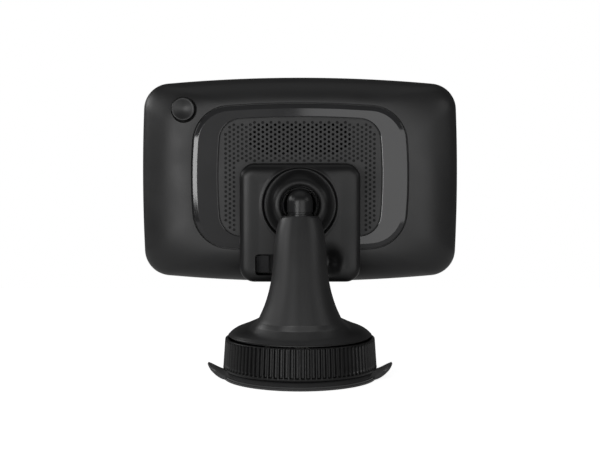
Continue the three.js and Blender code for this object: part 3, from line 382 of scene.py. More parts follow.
# ---------- materials ----------
def node(tree, kind, inputs=(), **settings):
    """A shader node with its settings, its sockets filled by value or by link."""
    made = tree.nodes.new(kind)
    for name, value in settings.items():
        setattr(made, name, value)
    for name, value in dict(inputs).items():
        socket = made.inputs[name]
        if isinstance(value, bpy.types.NodeSocket):
            tree.links.new(value, socket)
        else:
            socket.default_value = value
    return made


def new_material(name):
    """An empty node material with its output and shader."""
    material = bpy.data.materials.new(name)
    material.use_nodes = True
    tree = material.node_tree
    tree.nodes.clear()
    shader = node(tree, "ShaderNodeBsdfPrincipled")
    node(tree, "ShaderNodeOutputMaterial", {"Surface": shader.outputs[0]})
    return material, tree, shader


def noise(tree, place, scale, detail=3.0, roughness=0.5):
    """Fractal noise read at a place."""
    return node(tree, "ShaderNodeTexNoise", {
        "Vector": place, "Scale": scale, "Detail": detail, "Roughness": roughness}).outputs["Fac"]


def ramp(tree, value, low, high, start=0.0, end=1.0):
    """A value moved from the range low to high into the range start to end."""
    return node(tree, "ShaderNodeMapRange", {
        "Value": value, "From Min": low, "From Max": high, "To Min": start, "To Max": end,
    }).outputs["Result"]


def tint(tree, factor, first, second):
    """A colour between two, by a factor."""
    mix = node(tree, "ShaderNodeMix", data_type="RGBA")
    tree.links.new(factor, mix.inputs[0])
    mix.inputs[6].default_value = (*first, 1)
    mix.inputs[7].default_value = (*second, 1)
    return mix.outputs[2]


def plastic(name, shade, roughness, grain=0.06, spread=0.06, shine=0.5):
    """Moulded plastic: a fine spark-eroded grain, and soft patches of gloss where it was handled."""
    material, tree, shader = new_material(name)
    place = node(tree, "ShaderNodeTexCoord").outputs["Object"]
    patches = noise(tree, place, 45.0, 4.0)
    fine = noise(tree, place, 9000.0, 2.0, 0.6)
    tree.links.new(tint(tree, ramp(tree, patches, 0.3, 0.7), [c * 0.9 for c in shade],
                        [c * 1.1 for c in shade]), shader.inputs["Base Color"])
    gloss = ramp(tree, patches, 0.3, 0.7, roughness - spread, roughness + spread)
    tree.links.new(gloss, shader.inputs["Roughness"])
    bump = node(tree, "ShaderNodeBump", {"Height": fine, "Strength": grain, "Distance": 0.05 * MM})
    tree.links.new(bump.outputs[0], shader.inputs["Normal"])
    shader.inputs["Specular IOR Level"].default_value = shine
    return material


def painted_shade_below(name, shade, roughness, low, high, deep, shine):
    """Plastic with painted shade, darker and duller below a depth: between y = low and y = high its
    colour goes from deep * shade to shade, and its shine from the first value to the second."""
    material = plastic(name, shade, roughness)
    tree = material.node_tree
    shader = next(made for made in tree.nodes if made.type == "BSDF_PRINCIPLED")
    place = node(tree, "ShaderNodeTexCoord").outputs["Object"]
    depth = node(tree, "ShaderNodeSeparateXYZ", {"Vector": place}).outputs["Y"]
    # mask of painted shade: 0 below y = low, 1 above y = high
    face = ramp(tree, depth, low, high)
    full = shader.inputs["Base Color"].links[0].from_socket
    mix = node(tree, "ShaderNodeMix", data_type="RGBA")
    tree.links.new(face, mix.inputs[0])
    mix.inputs[6].default_value = (*[c * deep for c in shade], 1)
    tree.links.new(full, mix.inputs[7])
    tree.links.new(mix.outputs[2], shader.inputs["Base Color"])
    # painted shade in the gloss too: less shine below the face
    tree.links.new(ramp(tree, face, 0, 1, *shine), shader.inputs["Specular IOR Level"])
    return material


def metal(name, shade, roughness, brushed=(900.0, 60.0, 900.0)):
    """Plated or rolled metal: fine lines along the rolling direction and faint stains."""
    material, tree, shader = new_material(name)
    place = node(tree, "ShaderNodeTexCoord").outputs["Object"]
    lines = node(tree, "ShaderNodeMapping", {"Vector": place, "Scale": brushed}).outputs[0]
    grain = noise(tree, lines, 4.0, 2.0)
    stain = noise(tree, place, 120.0, 4.0)
    tree.links.new(tint(tree, ramp(tree, stain, 0.35, 0.65), [c * 0.82 for c in shade], shade),
                   shader.inputs["Base Color"])
    tree.links.new(ramp(tree, grain, 0.3, 0.7, roughness * 0.8, roughness * 1.3),
                   shader.inputs["Roughness"])
    shader.inputs["Metallic"].default_value = 1.0
    bump = node(tree, "ShaderNodeBump", {"Height": grain, "Strength": 0.08, "Distance": 0.03 * MM})
    tree.links.new(bump.outputs[0], shader.inputs["Normal"])
    return material


def circuit_board(name):
    """Green solder mask over copper tracks, with bare round pads on a grid."""
    material, tree, shader = new_material(name)
    place = node(tree, "ShaderNodeTexCoord").outputs["Object"]
    flat = node(tree, "ShaderNodeMapping", {"Vector": place, "Scale": (1.0, 0.0, 1.0)}).outputs[0]
    tracks = node(tree, "ShaderNodeTexVoronoi", {"Vector": flat, "Scale": 260.0},
                  feature="DISTANCE_TO_EDGE").outputs["Distance"]
    pads = node(tree, "ShaderNodeTexVoronoi", {"Vector": flat, "Scale": 520.0, "Randomness": 0.35},
                feature="F1").outputs["Distance"]
    mask = tint(tree, ramp(tree, tracks, 0.04, 0.07), (0.035, 0.16, 0.06), (0.012, 0.075, 0.028))
    bare = node(tree, "ShaderNodeMix", data_type="RGBA")
    tree.links.new(ramp(tree, pads, 0.16, 0.2), bare.inputs[0])
    bare.inputs[6].default_value = (0.55, 0.5, 0.38, 1)
    tree.links.new(mask, bare.inputs[7])
    tree.links.new(bare.outputs[2], shader.inputs["Base Color"])
    tree.links.new(ramp(tree, pads, 0.16, 0.2, 0.25, 0.45), shader.inputs["Roughness"])
    bump = node(tree, "ShaderNodeBump",
                {"Height": ramp(tree, tracks, 0.03, 0.08), "Strength": 0.2, "Distance": 0.04 * MM},
                invert=True)
    tree.links.new(bump.outputs[0], shader.inputs["Normal"])
    return material


def screen_glass(name):
    """Black-backed glass: deep black with a barely lighter window, smudges in the gloss."""
    material, tree, shader = new_material(name)
    place = node(tree, "ShaderNodeTexCoord").outputs["Object"]
    parts = node(tree, "ShaderNodeSeparateXYZ", {"Vector": place})
    half = (DISPLAY_HIGH - DISPLAY_LOW) / 2
    far = []
    for axis, middle, reach in ((0, 0.0, half.x - 4 * MM), (2, HEAD_MID.z, half.z - 5 * MM)):
        offset = node(tree, "ShaderNodeMath", {0: parts.outputs[axis], 1: middle},
                      operation="SUBTRACT").outputs[0]
        size = node(tree, "ShaderNodeMath", {0: offset}, operation="ABSOLUTE").outputs[0]
        far.append(ramp(tree, size, reach - 0.05 * MM, reach + 0.05 * MM))
    outside = node(tree, "ShaderNodeMath", {0: far[0], 1: far[1]}, operation="MAXIMUM").outputs[0]
    tree.links.new(tint(tree, outside, (0.010, 0.012, 0.015), (0.003, 0.003, 0.0035)),
                   shader.inputs["Base Color"])
    smudge = noise(tree, place, 28.0, 5.0, 0.6)
    tree.links.new(ramp(tree, smudge, 0.45, 0.7, 0.05, 0.16), shader.inputs["Roughness"])
    shader.inputs["IOR"].default_value = 1.52
    return material


def foam_rubber(name, shade, cell=2600.0):
    """Closed-cell foam, paper or ceramic: pits from a cell pattern, quite matte."""
    material, tree, shader = new_material(name)
    place = node(tree, "ShaderNodeTexCoord").outputs["Object"]
    cells = node(tree, "ShaderNodeTexVoronoi", {"Vector": place, "Scale": cell}).outputs["Distance"]
    tree.links.new(tint(tree, ramp(tree, cells, 0.1, 0.6), [c * 0.6 for c in shade],
                        [c * 1.3 for c in shade]), shader.inputs["Base Color"])
    shader.inputs["Roughness"].default_value = 0.92
    bump = node(tree, "ShaderNodeBump", {"Height": cells, "Strength": 0.4, "Distance": 0.08 * MM})
    tree.links.new(bump.outputs[0], shader.inputs["Normal"])
    return material


def material_for(slot):
    """The one material of a slot, made when it is first asked for."""
    name = f"{slot}_finish"
    found = bpy.data.materials.get(name)
    if found:
        return found
    finish = bpy.context.scene.navigator_finish
    makers = {
        "cover_plastic": lambda: plastic(name, finish.cover, 0.42, grain=0.10),
        "frame_plastic": lambda: plastic(name, (0.012, 0.012, 0.0125), 0.45),
        "trim_plastic": lambda: plastic(name, finish.trim, 0.08, grain=0.01, spread=0.02),
        # painted shade: the grille's holes are darker and duller inside than its face
        "grille_plastic": lambda: painted_shade_below(
            name, (0.018, 0.018, 0.0184), 0.45, GRILLE_HIGH.y - 0.12 * MM, GRILLE_HIGH.y - 0.03 * MM,
            0.5, (0.2, 0.5)),
        "dock_plastic": lambda: plastic(name, finish.dock, 0.34, grain=0.05, shine=0.32),
        "arm_plastic": lambda: plastic(name, finish.arm, 0.40, grain=0.05),
        # painted shade: the ball and neck are darker and duller, standing for the shade in the socket
        "stem_plastic": lambda: painted_shade_below(
            name, (0.010, 0.010, 0.0105), 0.3, BALL.y + BALL_RADIUS, BALL.y + BALL_RADIUS + 2 * MM,
            0.15, (0.06, 0.4)),
        "liner_plastic": lambda: plastic(name, (0.48, 0.48, 0.45), 0.5),
        "dial_rubber": lambda: plastic(name, finish.dial, 0.34, grain=0.05, shine=0.35),
        "cup_rubber": lambda: plastic(name, finish.cup, 0.12, grain=0.02, spread=0.04),
        "screen_glass": lambda: screen_glass(name),
        "display": lambda: plastic(name, (0.012, 0.015, 0.02), 0.25),
        "foam": lambda: foam_rubber(name, (0.02, 0.02, 0.02)),
        "circuit_board": lambda: circuit_board(name),
        # very dark for steel: painted shade, standing for the shade on the charging socket in its pocket
        "plated_steel": lambda: metal(name, (0.03, 0.03, 0.031), 0.45),
        "gold_plate": lambda: metal(name, (0.85, 0.62, 0.25), 0.22),
        "magnet_plate": lambda: metal(name, (0.5, 0.5, 0.51), 0.18, (300.0, 300.0, 300.0)),
        "cell_wrap": lambda: metal(name, (0.62, 0.65, 0.68), 0.38, (200.0, 700.0, 60.0)),
        "ceramic": lambda: foam_rubber(name, (0.5, 0.44, 0.33), 5200.0),
    }
    return makers[slot]()


# ---------- pieces: head ----------
def dome_rows(inset, top, depth, count, spread=0.0):
    """Rings over the head's domed back. Ring k is the head's outline moved a share 1 - cos of the
    way to the trim's, spread outwards, at a quarter-ellipse depth (1 - sqrt(1 - (1 - share)^2))."""
    outer, inner = head_outline(inset), trim_outline(-spread)
    rows = []
    for share in 1 - np.cos(np.linspace(0, math.pi / 2, count)):
        sunk = depth * (1 - math.sqrt(1 - (1 - share) ** 2))
        rows.append(ring(outer * (1 - share) + inner * share, top - sunk, HEAD_MID))
    return rows


def make_rear_cover():
    """The domed back with a sunk place for the trim, a pocket for the dock, the speaker's mouth and
    the button's hole."""
    back, rim = COVER_HIGH.y, COVER_LOW.y
    depth = back - rim
    recess, floor, pocket_floor = back - 1.6 * MM, back - 3.2 * MM, back - 4.3 * MM
    gap = 0.3 * MM
    lip = [(gap + 0.12 * MM, back - 0.02 * MM), (gap, back - 0.1 * MM), (gap, recess)]
    inside = dome_rows(bpy.context.scene.navigator_head.wall, floor, floor - rim, 16)[::-1]
    outside = dome_rows(0, back, depth, 44, gap)[:-1]
    cover = raw_object("rear_cover_skin", *skin(
        inside + outside + [ring(trim_outline(-out), y, HEAD_MID) for out, y in lip]))
    bay = prism("bay", dock_outline(-2.0 * MM), recess - 0.1 * MM, pocket_floor - 1.6 * MM, BALL)
    dome = raw_object("dome", *skin(dome_rows(0.6 * MM, back, depth, 14)))
    boolean(bay, dome, "INTERSECT")
    boolean(cover, bay, "UNION")
    button = (BUTTON_LOW + BUTTON_HIGH) / 2
    radius = (BUTTON_HIGH.x - BUTTON_LOW.x) / 2 - BUTTON_FLANGE
    round_cuts = [
        raw_object(name, *skin(facing_back(lathe(profile, 64), Vector((button.x, y, button.z)))))
        for name, y, profile in (
            ("shaft", back, [(radius + 0.35 * MM, -10 * MM), (radius + 0.35 * MM, 2 * MM)]),
            ("chamfer", back - 0.35 * MM, [(radius, -1.55 * MM), (radius + 1.3 * MM, 0.4 * MM)]))]
    pocket = prism("pocket", dock_outline(-POCKET_GAP), back + 2 * MM, pocket_floor, BALL)
    width, height = SPEAKER_HIGH.x - SPEAKER_LOW.x, SPEAKER_HIGH.z - SPEAKER_LOW.z
    mouth = prism("mouth", rounded_outline(
        width - 2 * SPEAKER_LEDGE, height - 2 * SPEAKER_LEDGE, height / 2 - SPEAKER_LEDGE - 0.1 * MM),
        back, floor - 1 * MM, (SPEAKER_LOW + SPEAKER_HIGH) / 2)
    carve(cover, [*round_cuts, pocket, mouth], [bay, dome])
    finish_piece(cover, "head", "cover_plastic", "rear_cover", 28)


def make_trim_ring():
    """A flat ring round the grille: an outer bevel, a face that falls slightly inwards, and a
    rounded inner edge. Rings are the trim's outline inset, then blends to the grille's outline."""
    bevel = bpy.context.scene.navigator_head.bevel
    back, low = TRIM_HIGH.y, TRIM_LOW.y
    gap, fall = 0.2 * MM, 0.12 * MM
    outer = [(0, low), (0, back - 0.55 * MM), (0.08 * MM, back - 0.42 * MM),
             (0.25 * MM, back - 0.34 * MM), (bevel * 0.55, back - 0.17 * MM),
             (bevel - 0.12 * MM, back - 0.02 * MM), (bevel, back),
             (bevel + 0.12 * MM, back + 0.01 * MM)]
    rows = [ring(trim_outline(inset + gap), y, HEAD_MID) for inset, y in outer]
    first, last = trim_outline(outer[-1][0] + gap), grille_outline(-0.3 * MM - gap)
    for share in np.linspace(0, 1, 12)[1:]:
        rows.append(ring(first * (1 - share) + last * share, back - fall * share, HEAD_MID))
    inner = [(-0.12 * MM, back - 0.16 * MM), (0, back - 0.3 * MM), (0, low)]
    rows += [ring(grille_outline(inset - gap), y, HEAD_MID) for inset, y in inner]
    trim = raw_object("trim_ring_skin", *band(rows))
    carve(trim, [prism("pocket", dock_outline(-POCKET_GAP), back + 2 * MM, low - 2 * MM, BALL)])
    finish_piece(trim, "head", "trim_plastic", "trim_ring", 9)


def hole_centres(outline, radius, pitch):
    """Hexagonal lattice in vertical columns, kept where a hole lies wholly on the grille and clear
    of the dock's pocket. Columns stand pitch * cos 30 apart and every other one is half a pitch up."""
    reach = outline.max(0)
    columns = int(reach[0] // (pitch * 0.87)) + 1
    rows = int(reach[1] // pitch) + 2
    i, j = np.meshgrid(np.arange(-columns, columns + 1), np.arange(-rows, rows + 1), indexing="ij")
    x = i * pitch * math.sqrt(3) / 2
    z = (j + 0.5 * (i % 2)) * pitch + TRIM_RISE
    places = np.stack([x.ravel(), z.ravel()], 1)
    margin = radius + 0.75 * MM
    ends = np.roll(outline, -1, 0)
    run = ends - outline
    normal = np.stack([run[:, 1], -run[:, 0]], 1) / np.linalg.norm(run, axis=1)[:, None]
    depth = -np.einsum("pij,ij->pi", places[:, None] - outline[None], normal).T
    inside = depth.min(0) > margin
    half = (DOCK_HIGH - DOCK_LOW) / 2
    dock_z = DOCK_MID.z - HEAD_MID.z
    over_dock = (abs(places[:, 0]) < half.x + margin) & (abs(places[:, 1] - dock_z) < half.z + margin)
    return places[inside & ~over_dock]


def make_speaker_grille():
    """A flat plate with real holes: the outline and every hole are one constrained triangulation,
    through holes over the speaker and blind ones elsewhere."""
    head = bpy.context.scene.navigator_head
    outline = grille_outline(0.35 * MM)
    top, low = GRILLE_HIGH.y, GRILLE_LOW.y
    centres = hole_centres(outline, head.hole_radius, head.hole_pitch)
    sides = 12
    ring_points = head.hole_radius * np.stack([np.cos(np.arange(sides) * TURN / sides),
                                               np.sin(np.arange(sides) * TURN / sides)], 1)
    points = np.vstack([outline, (centres[:, None] + ring_points[None]).reshape(-1, 2)])
    rim = len(outline)
    loops = [list(range(rim))]
    loops += [[rim + i * sides + k for k in range(sides)] for i in range(len(centres))]
    scale = 1 / MM
    places, _, faces, origin, _, sources = delaunay_2d_cdt(
        [Vector(p) for p in points * scale], [], loops, 1, 1e-5)
    places = np.array([p[:] for p in places]) / scale
    renamed = {old: new for new, olds in enumerate(origin) for old in olds}
    speaker = (SPEAKER_HIGH - SPEAKER_LOW) / 2
    speaker_z = (SPEAKER_LOW.z + SPEAKER_HIGH.z) / 2 - HEAD_MID.z
    end = speaker.x - speaker.z
    off = np.stack([np.maximum(abs(centres[:, 0]) - end, 0), centres[:, 1] - speaker_z], 1)
    through = np.linalg.norm(off, axis=1) < speaker.z - SPEAKER_LEDGE - head.hole_radius
    count = len(places)
    blind = 0.65 * MM
    vertices = np.vstack([ring(places, y, HEAD_MID) for y in (top, low, top - blind)])
    plate, bottoms = 1, 2
    made = []
    for face, source in zip(faces, sources):
        hole = max(source)
        if hole == 0:
            made.append(list(face)[::-1])
            made.append([plate * count + i for i in face])
        elif not through[hole - 1]:
            made.append([bottoms * count + i for i in face][::-1])
            made.append([plate * count + i for i in face])
    for number, loop in enumerate(loops):
        deep = plate if number == 0 or through[number - 1] else bottoms
        ends = loop[1:] + loop[:1]
        for a, b in zip(loop, ends):
            a, b = renamed[a], renamed[b]
            wall = [a, b, deep * count + b, deep * count + a]
            made.append(wall if number == 0 else wall[::-1])
    used = np.unique(np.concatenate([np.array(face) for face in made]))
    index = np.full(len(vertices), -1)
    index[used] = np.arange(len(used))
    grille = raw_object("speaker_grille_skin", vertices[used],
                        [[int(index[i]) for i in face] for face in made])
    carve(grille, [prism("pocket", dock_outline(-POCKET_GAP), top + 2 * MM, low - 2 * MM, BALL)])
    finish_piece(grille, "head", "grille_plastic", "speaker_grille", 40)


def make_power_button():
    """A round cap with a rolled rim and a shallow dish, turned from one profile."""
    middle = (BUTTON_LOW + BUTTON_HIGH) / 2
    radius = (BUTTON_HIGH.x - BUTTON_LOW.x) / 2 - BUTTON_FLANGE
    top = BUTTON_HIGH.y
    inner, sunk = radius - 0.9 * MM, 0.8 * MM
    dish = [(inner * share, -0.08 * MM - sunk * math.cos(share * math.pi / 2))
            for share in np.linspace(0.02, 1, 14)]
    profile = dish + [(radius - 0.5 * MM, 0), (radius - 0.22 * MM, -0.04 * MM),
                      (radius - 0.05 * MM, -0.2 * MM), (radius, -0.45 * MM), (radius, -3.4 * MM),
                      (radius + BUTTON_FLANGE, -3.6 * MM), (radius + BUTTON_FLANGE, -4.4 * MM),
                      (1.5 * MM, -4.4 * MM), (1.5 * MM, BUTTON_LOW.y - top)]
    button = raw_object("power_button_skin", *skin(facing_back(
        lathe(profile, 96), Vector((middle.x, top, middle.z)))))
    finish_piece(button, "power_button", "cover_plastic", "power_button", 50)


def make_front_frame():
    """The frame round the screen: straight sides, a front edge rounded as a quarter ellipse, a
    pocket for the glass."""
    back, front = HEAD_HIGH.y, HEAD_LOW.y
    across, down, pocket = 1.5 * MM, 2.4 * MM, 1.5 * MM
    section = [(0, back)]
    section += [(across * (1 - math.cos(t)), front + down * (1 - math.sin(t)))
                for t in np.linspace(0, math.pi / 2, 12)]
    section += [(1.85 * MM, front), (2.0 * MM, front + 0.15 * MM), (2.0 * MM, front + pocket),
                (6.0 * MM, front + pocket), (6.0 * MM, back)]
    frame_skin = raw_object("front_frame_skin", *band(
        [ring(head_outline(inset), y, HEAD_MID) for inset, y in section]))
    finish_piece(frame_skin, "head", "frame_plastic", "front_frame", 35)


def make_touch_glass():
    """The cover glass, with a ground edge."""
    inset = 2.3 * MM
    section = [(0, GLASS_HIGH.y), (0, GLASS_LOW.y + 0.25 * MM), (0.1 * MM, GLASS_LOW.y + 0.07 * MM),
               (0.3 * MM, GLASS_LOW.y)]
    rows = [ring(head_outline(inset + extra), y, HEAD_MID) for extra, y in section]
    finish_piece(raw_object("touch_glass_skin", *skin(rows)), "head", "screen_glass",
                 "touch_glass", 30)


# ---------- pieces: dock ----------
def box_inset(x, z, half, corner):
    """How far a point lies inside a rectangle with round corners, by its signed distance."""
    qx, qz = abs(x) - (half.x - corner), abs(z) - (half.z - corner)
    outside = np.hypot(np.maximum(qx, 0), np.maximum(qz, 0))
    return corner - outside - np.minimum(np.maximum(qx, qz), 0)


def dock_fall(x, z):
    """How far the dock's back lies below its highest plane at x and z about the ball: a crown that
    grows with x squared, a rolled edge (1 - (1 - (1 - d/a)^p)^(1/p)), and the soft hollow exp(-r^2)
    where the charging channel ends."""
    dock = bpy.context.scene.navigator_dock
    half = (DOCK_HIGH - DOCK_LOW) / 2
    inset = np.maximum(box_inset(x, z - (DOCK_MID.z - BALL.z), half, dock.corner), 0)
    width, depth, power = 8.5 * MM, 4.6 * MM, 3.4
    near = np.clip(1 - inset / width, 0, 1)
    edge = depth * (1 - (1 - near**power) ** (1 / power))
    crown = dock.crown * (x / half.x) ** 2 * (1 - near)
    away = ((x + 12.6 * MM) / (4.2 * MM)) ** 2 + ((z + 25 * MM) / (4.6 * MM)) ** 2
    hollow = 3.2 * MM * np.exp(-away)
    return edge + crown + hollow


def make_dock_shell():
    """The dock's back: a mouth for the ball, a raised collar, a deep ring, a rim, then a blend from
    circle to rounded square. Ring s is circle (1 - s) + outline s; depth adds dock_fall."""
    back = DOCK_HIGH.y
    outline = dock_outline()
    angle = np.arctan2(outline[:, 1], outline[:, 0])
    round_ring = np.stack([np.cos(angle), np.sin(angle)], 1)
    mouth, dish = 8.4 * MM, 16.2 * MM
    profile = rounded_profile(
        [(mouth, -1.85 * MM), (mouth, -0.5 * MM), (9.5 * MM, -0.1 * MM), (11.4 * MM, -0.5 * MM),
         (13.4 * MM, -2.2 * MM), (15.5 * MM, -2.9 * MM), (dish, -2.4 * MM),
         (dish + 0.1 * MM, -0.2 * MM), (dish + 0.5 * MM, 0.15 * MM),
         (dish + 1.1 * MM, 0.12 * MM), (dish + 1.6 * MM, 0)],
        [0.4 * MM, 0.9 * MM, 1.2 * MM, 1.4 * MM, 0.9 * MM, 0.5 * MM, 0.3 * MM, 0.2 * MM, 0.2 * MM], 6)
    rows = []
    for radius, drop in profile:
        flat = round_ring * radius
        rows.append(np.stack([flat[:, 0], back + drop - dock_fall(flat[:, 0], flat[:, 1]) *
                              np.clip((radius - mouth) / (dish - mouth), 0, 1), flat[:, 1]], 1))
    inner = round_ring * profile[-1][0]
    for share in np.sin(np.linspace(0, math.pi / 2, 40))[1:]:
        flat = inner * (1 - share) + outline * share
        rows.append(np.stack([flat[:, 0], back - dock_fall(flat[:, 0], flat[:, 1]), flat[:, 1]], 1))
    wall = 1.8 * MM
    low = DOCK_LOW.y
    deep = back - 5.2 * MM
    rows = [row + (BALL.x, 0, BALL.z) for row in rows]
    for inset, y in ((0, low + 0.15 * MM), (0.15 * MM, low), (wall, low), (wall, deep - wall)):
        rows.append(ring(dock_outline(inset), y, BALL))
    for radius, y in ((17.8 * MM, deep), (11.0 * MM, deep), (8.9 * MM, deep),
                      (8.9 * MM, back - 1.9 * MM)):
        rows.append(ring(round_ring * radius, y, BALL))
    shell = raw_object("dock_rear_shell_skin", *band(rows))
    low_z, high_z = 43 * MM, 52.3 * MM
    start_x, ramp_x, end_x = -10 * MM, -11.2 * MM, 19.7 * MM
    pit = back - 8.5 * MM

    def channel(name, grow, top):
        """A block along X with one sloping end and soft edges, grown on all its sides."""
        middle_x = (ramp_x + end_x) / 2
        side = rounded_profile(
            [(middle_x, top), (end_x + grow, top), (end_x + grow, pit - grow),
             (start_x - grow, pit - grow), (ramp_x - grow, back - 1.2 * MM - grow),
             (ramp_x - grow, top), (middle_x, top)],
            [0.01 * MM, 0.7 * MM, 1.5 * MM, 3.0 * MM, 0.01 * MM], 6)[:-1]
        edge = 1.3 * MM
        rings = []
        for from_end, shrink in ((0, edge), (edge * 0.3, edge * 0.3), (edge, 0)):
            flat = side.copy()
            flat[:, 0] -= np.sign(flat[:, 0] - middle_x) * shrink
            flat[:, 1] += np.where(flat[:, 1] < top - 1 * MM, shrink * 0.4, 0)
            for z in (low_z - grow + from_end, high_z + grow - from_end):
                rings.append(np.stack([flat[:, 0], flat[:, 1], np.full(len(flat), z)], 1))
        return raw_object(name, *skin(rings[::2] + rings[::-2]))

    walls = channel("walls", 1.4 * MM, back - 2.6 * MM)
    boolean(shell, walls, "UNION")
    carve(shell, [channel("channel", 0, back + 2 * MM)], [walls])
    finish_piece(shell, "dock", "dock_plastic", "dock_rear_shell", 30)


def make_finger_collar():
    """Curved fingers, each a piece of a spherical shell between two polar angles with its edges cut
    off, and the flange that they grow from."""
    count = bpy.context.scene.navigator_dock.fingers
    inner, outer = 7.3 * MM, 8.3 * MM
    first, last = math.radians(66), math.radians(105)
    edge = 0.28 * MM
    cut = [(0, 1), (0.3, 0.3), (1, 0)]
    section = []
    for radius, polar, steps in ((inner, first, cut), (outer, first, cut[::-1]),
                                 (outer, last, cut), (inner, last, cut[::-1])):
        inward = 1 if radius == outer else -1
        along = 1 if polar == first else -1
        section += [(radius - inward * edge * a, polar + along * edge * b / radius) for a, b in steps]
    radius, polar = np.array(section).T[:, None]
    half = math.asin(1.5 * MM / outer)
    solids = []
    for k in range(count):
        t = np.linspace((k - 0.5) * TURN / count + half, (k + 0.5) * TURN / count - half, 22)[:, None]
        solids.append(skin(np.stack([radius * np.sin(polar) * np.cos(t), radius * np.cos(polar) + 0 * t,
                                     radius * np.sin(polar) * np.sin(t)], -1) + np.array(BALL)))
    back = BALL.y - 2.4 * MM
    front = back - 1.3 * MM
    flange = [(7.65 * MM, back + 0.9 * MM), (8.6 * MM, back + 0.9 * MM), (8.6 * MM, back),
              (12 * MM, back), (12 * MM, front), (9.9 * MM, front), (7.65 * MM, back + 0.2 * MM)]
    solids.append(band(facing_back(lathe(flange, 64), Vector((BALL.x, 0, BALL.z)))))
    starts = np.cumsum([0] + [len(points) for points, _ in solids])
    faces = [[i + start for i in face] for start, (_, quads) in zip(starts.tolist(), solids)
             for face in quads]
    collar = raw_object("finger_collar_skin", np.vstack([points for points, _ in solids]), faces)
    finish_piece(collar, "dock", "dock_plastic", "finger_collar", 40)


# ---------- pieces: arm and base ----------
def make_ball_stem():
    """Post, elbow, neck and ball joined into one solid, with a ring groove where the post leaves
    the arm and a threaded hole up the post."""
    radius, groove = POST_RADIUS, 0.35 * MM
    post_y, elbow = STEM_HIGH.y - radius, STEM_HIGH.z - radius
    low, top = STEM_LOW.z, ARM_HIGH.z
    profile = [(radius, low), (radius, top - 1 * MM), (radius, top + 0.6 * MM),
               (radius - groove, top + 0.75 * MM), (radius - groove, top + 1.35 * MM),
               (radius, top + 1.5 * MM)]
    profile += [(radius * math.cos(t), elbow + radius * math.sin(t))
                for t in np.linspace(0, math.pi / 2 - 0.04, 20)]
    post = raw_object("ball_stem_skin", *skin(lathe(profile, 96, (0, post_y))))
    sphere = [(BALL_RADIUS * math.sin(t), BALL_RADIUS * math.cos(t))
              for t in np.linspace(0.04, math.pi - 0.04, 40)]
    neck_radius = 3.7 * MM
    ball = raw_object("ball", *skin(facing_back(lathe(sphere, 80), BALL)))
    neck = raw_object("neck", *skin(facing_back(
        lathe([(neck_radius, 4 * MM), (neck_radius, post_y - BALL.y)], 64), BALL)))
    boolean(post, ball, "UNION")
    boolean(post, neck, "UNION")
    bore = 2.1 * MM
    thread = raw_object("thread", *skin(lathe([(bore, low - 1 * MM), (bore, low + 7 * MM)],
                                              32, (0, post_y))))
    carve(post, [thread], [ball, neck])
    finish_piece(post, "base", "stem_plastic", "ball_stem", 35)


ARM_STATIONS = [  # height above the skirt's rim and radius, in millimetres
    (-3, 36), (0, 31), (3, 25.4), (5, 22), (7.9, 18.4), (11.5, 16.4), (16.5, 14.4), (24.1, 12.4),
    (32, 11.4), (39, 10.9), (45.6, 10.1), (49, 9.3), (50.9, 8.6), (51.9, 7.9), (52.4, 7.0),
]
SKIRT_STATIONS = [(0, 29.9), (0.5, 29.9), (0.62, 30.65), (1.4, 30.4), (2.4, 29.4), (3.8, 27.2),
                  (5.3, 23.3), (8, 17.2), (12, 8.4)]


def soft_line(points, x):
    """A smooth curve through points: cubic Hermite pieces whose slopes are the mean of the
    neighbouring chords."""
    points = np.asarray(points, float)
    px, py = points.T
    chord = np.diff(py) / np.diff(px)
    slope = np.concatenate([chord[:1], (chord[1:] + chord[:-1]) / 2, chord[-1:]])
    i = np.clip(np.searchsorted(px, x) - 1, 0, len(chord) - 1)
    width = px[i + 1] - px[i]
    t = (x - px[i]) / width
    return ((2 * t**3 - 3 * t**2 + 1) * py[i] + (t**3 - 2 * t**2 + t) * width * slope[i]
            + (3 * t**2 - 2 * t**3) * py[i + 1] + (t**3 - t**2) * width * slope[i + 1])


def circle_reach(angle, offset, radius):
    """Distance along a ray at an angle from the origin to a circle centred at y = offset."""
    side = offset * np.cos(angle)
    return offset * np.sin(angle) + np.sqrt(np.maximum(radius**2 - side**2, 1e-12))


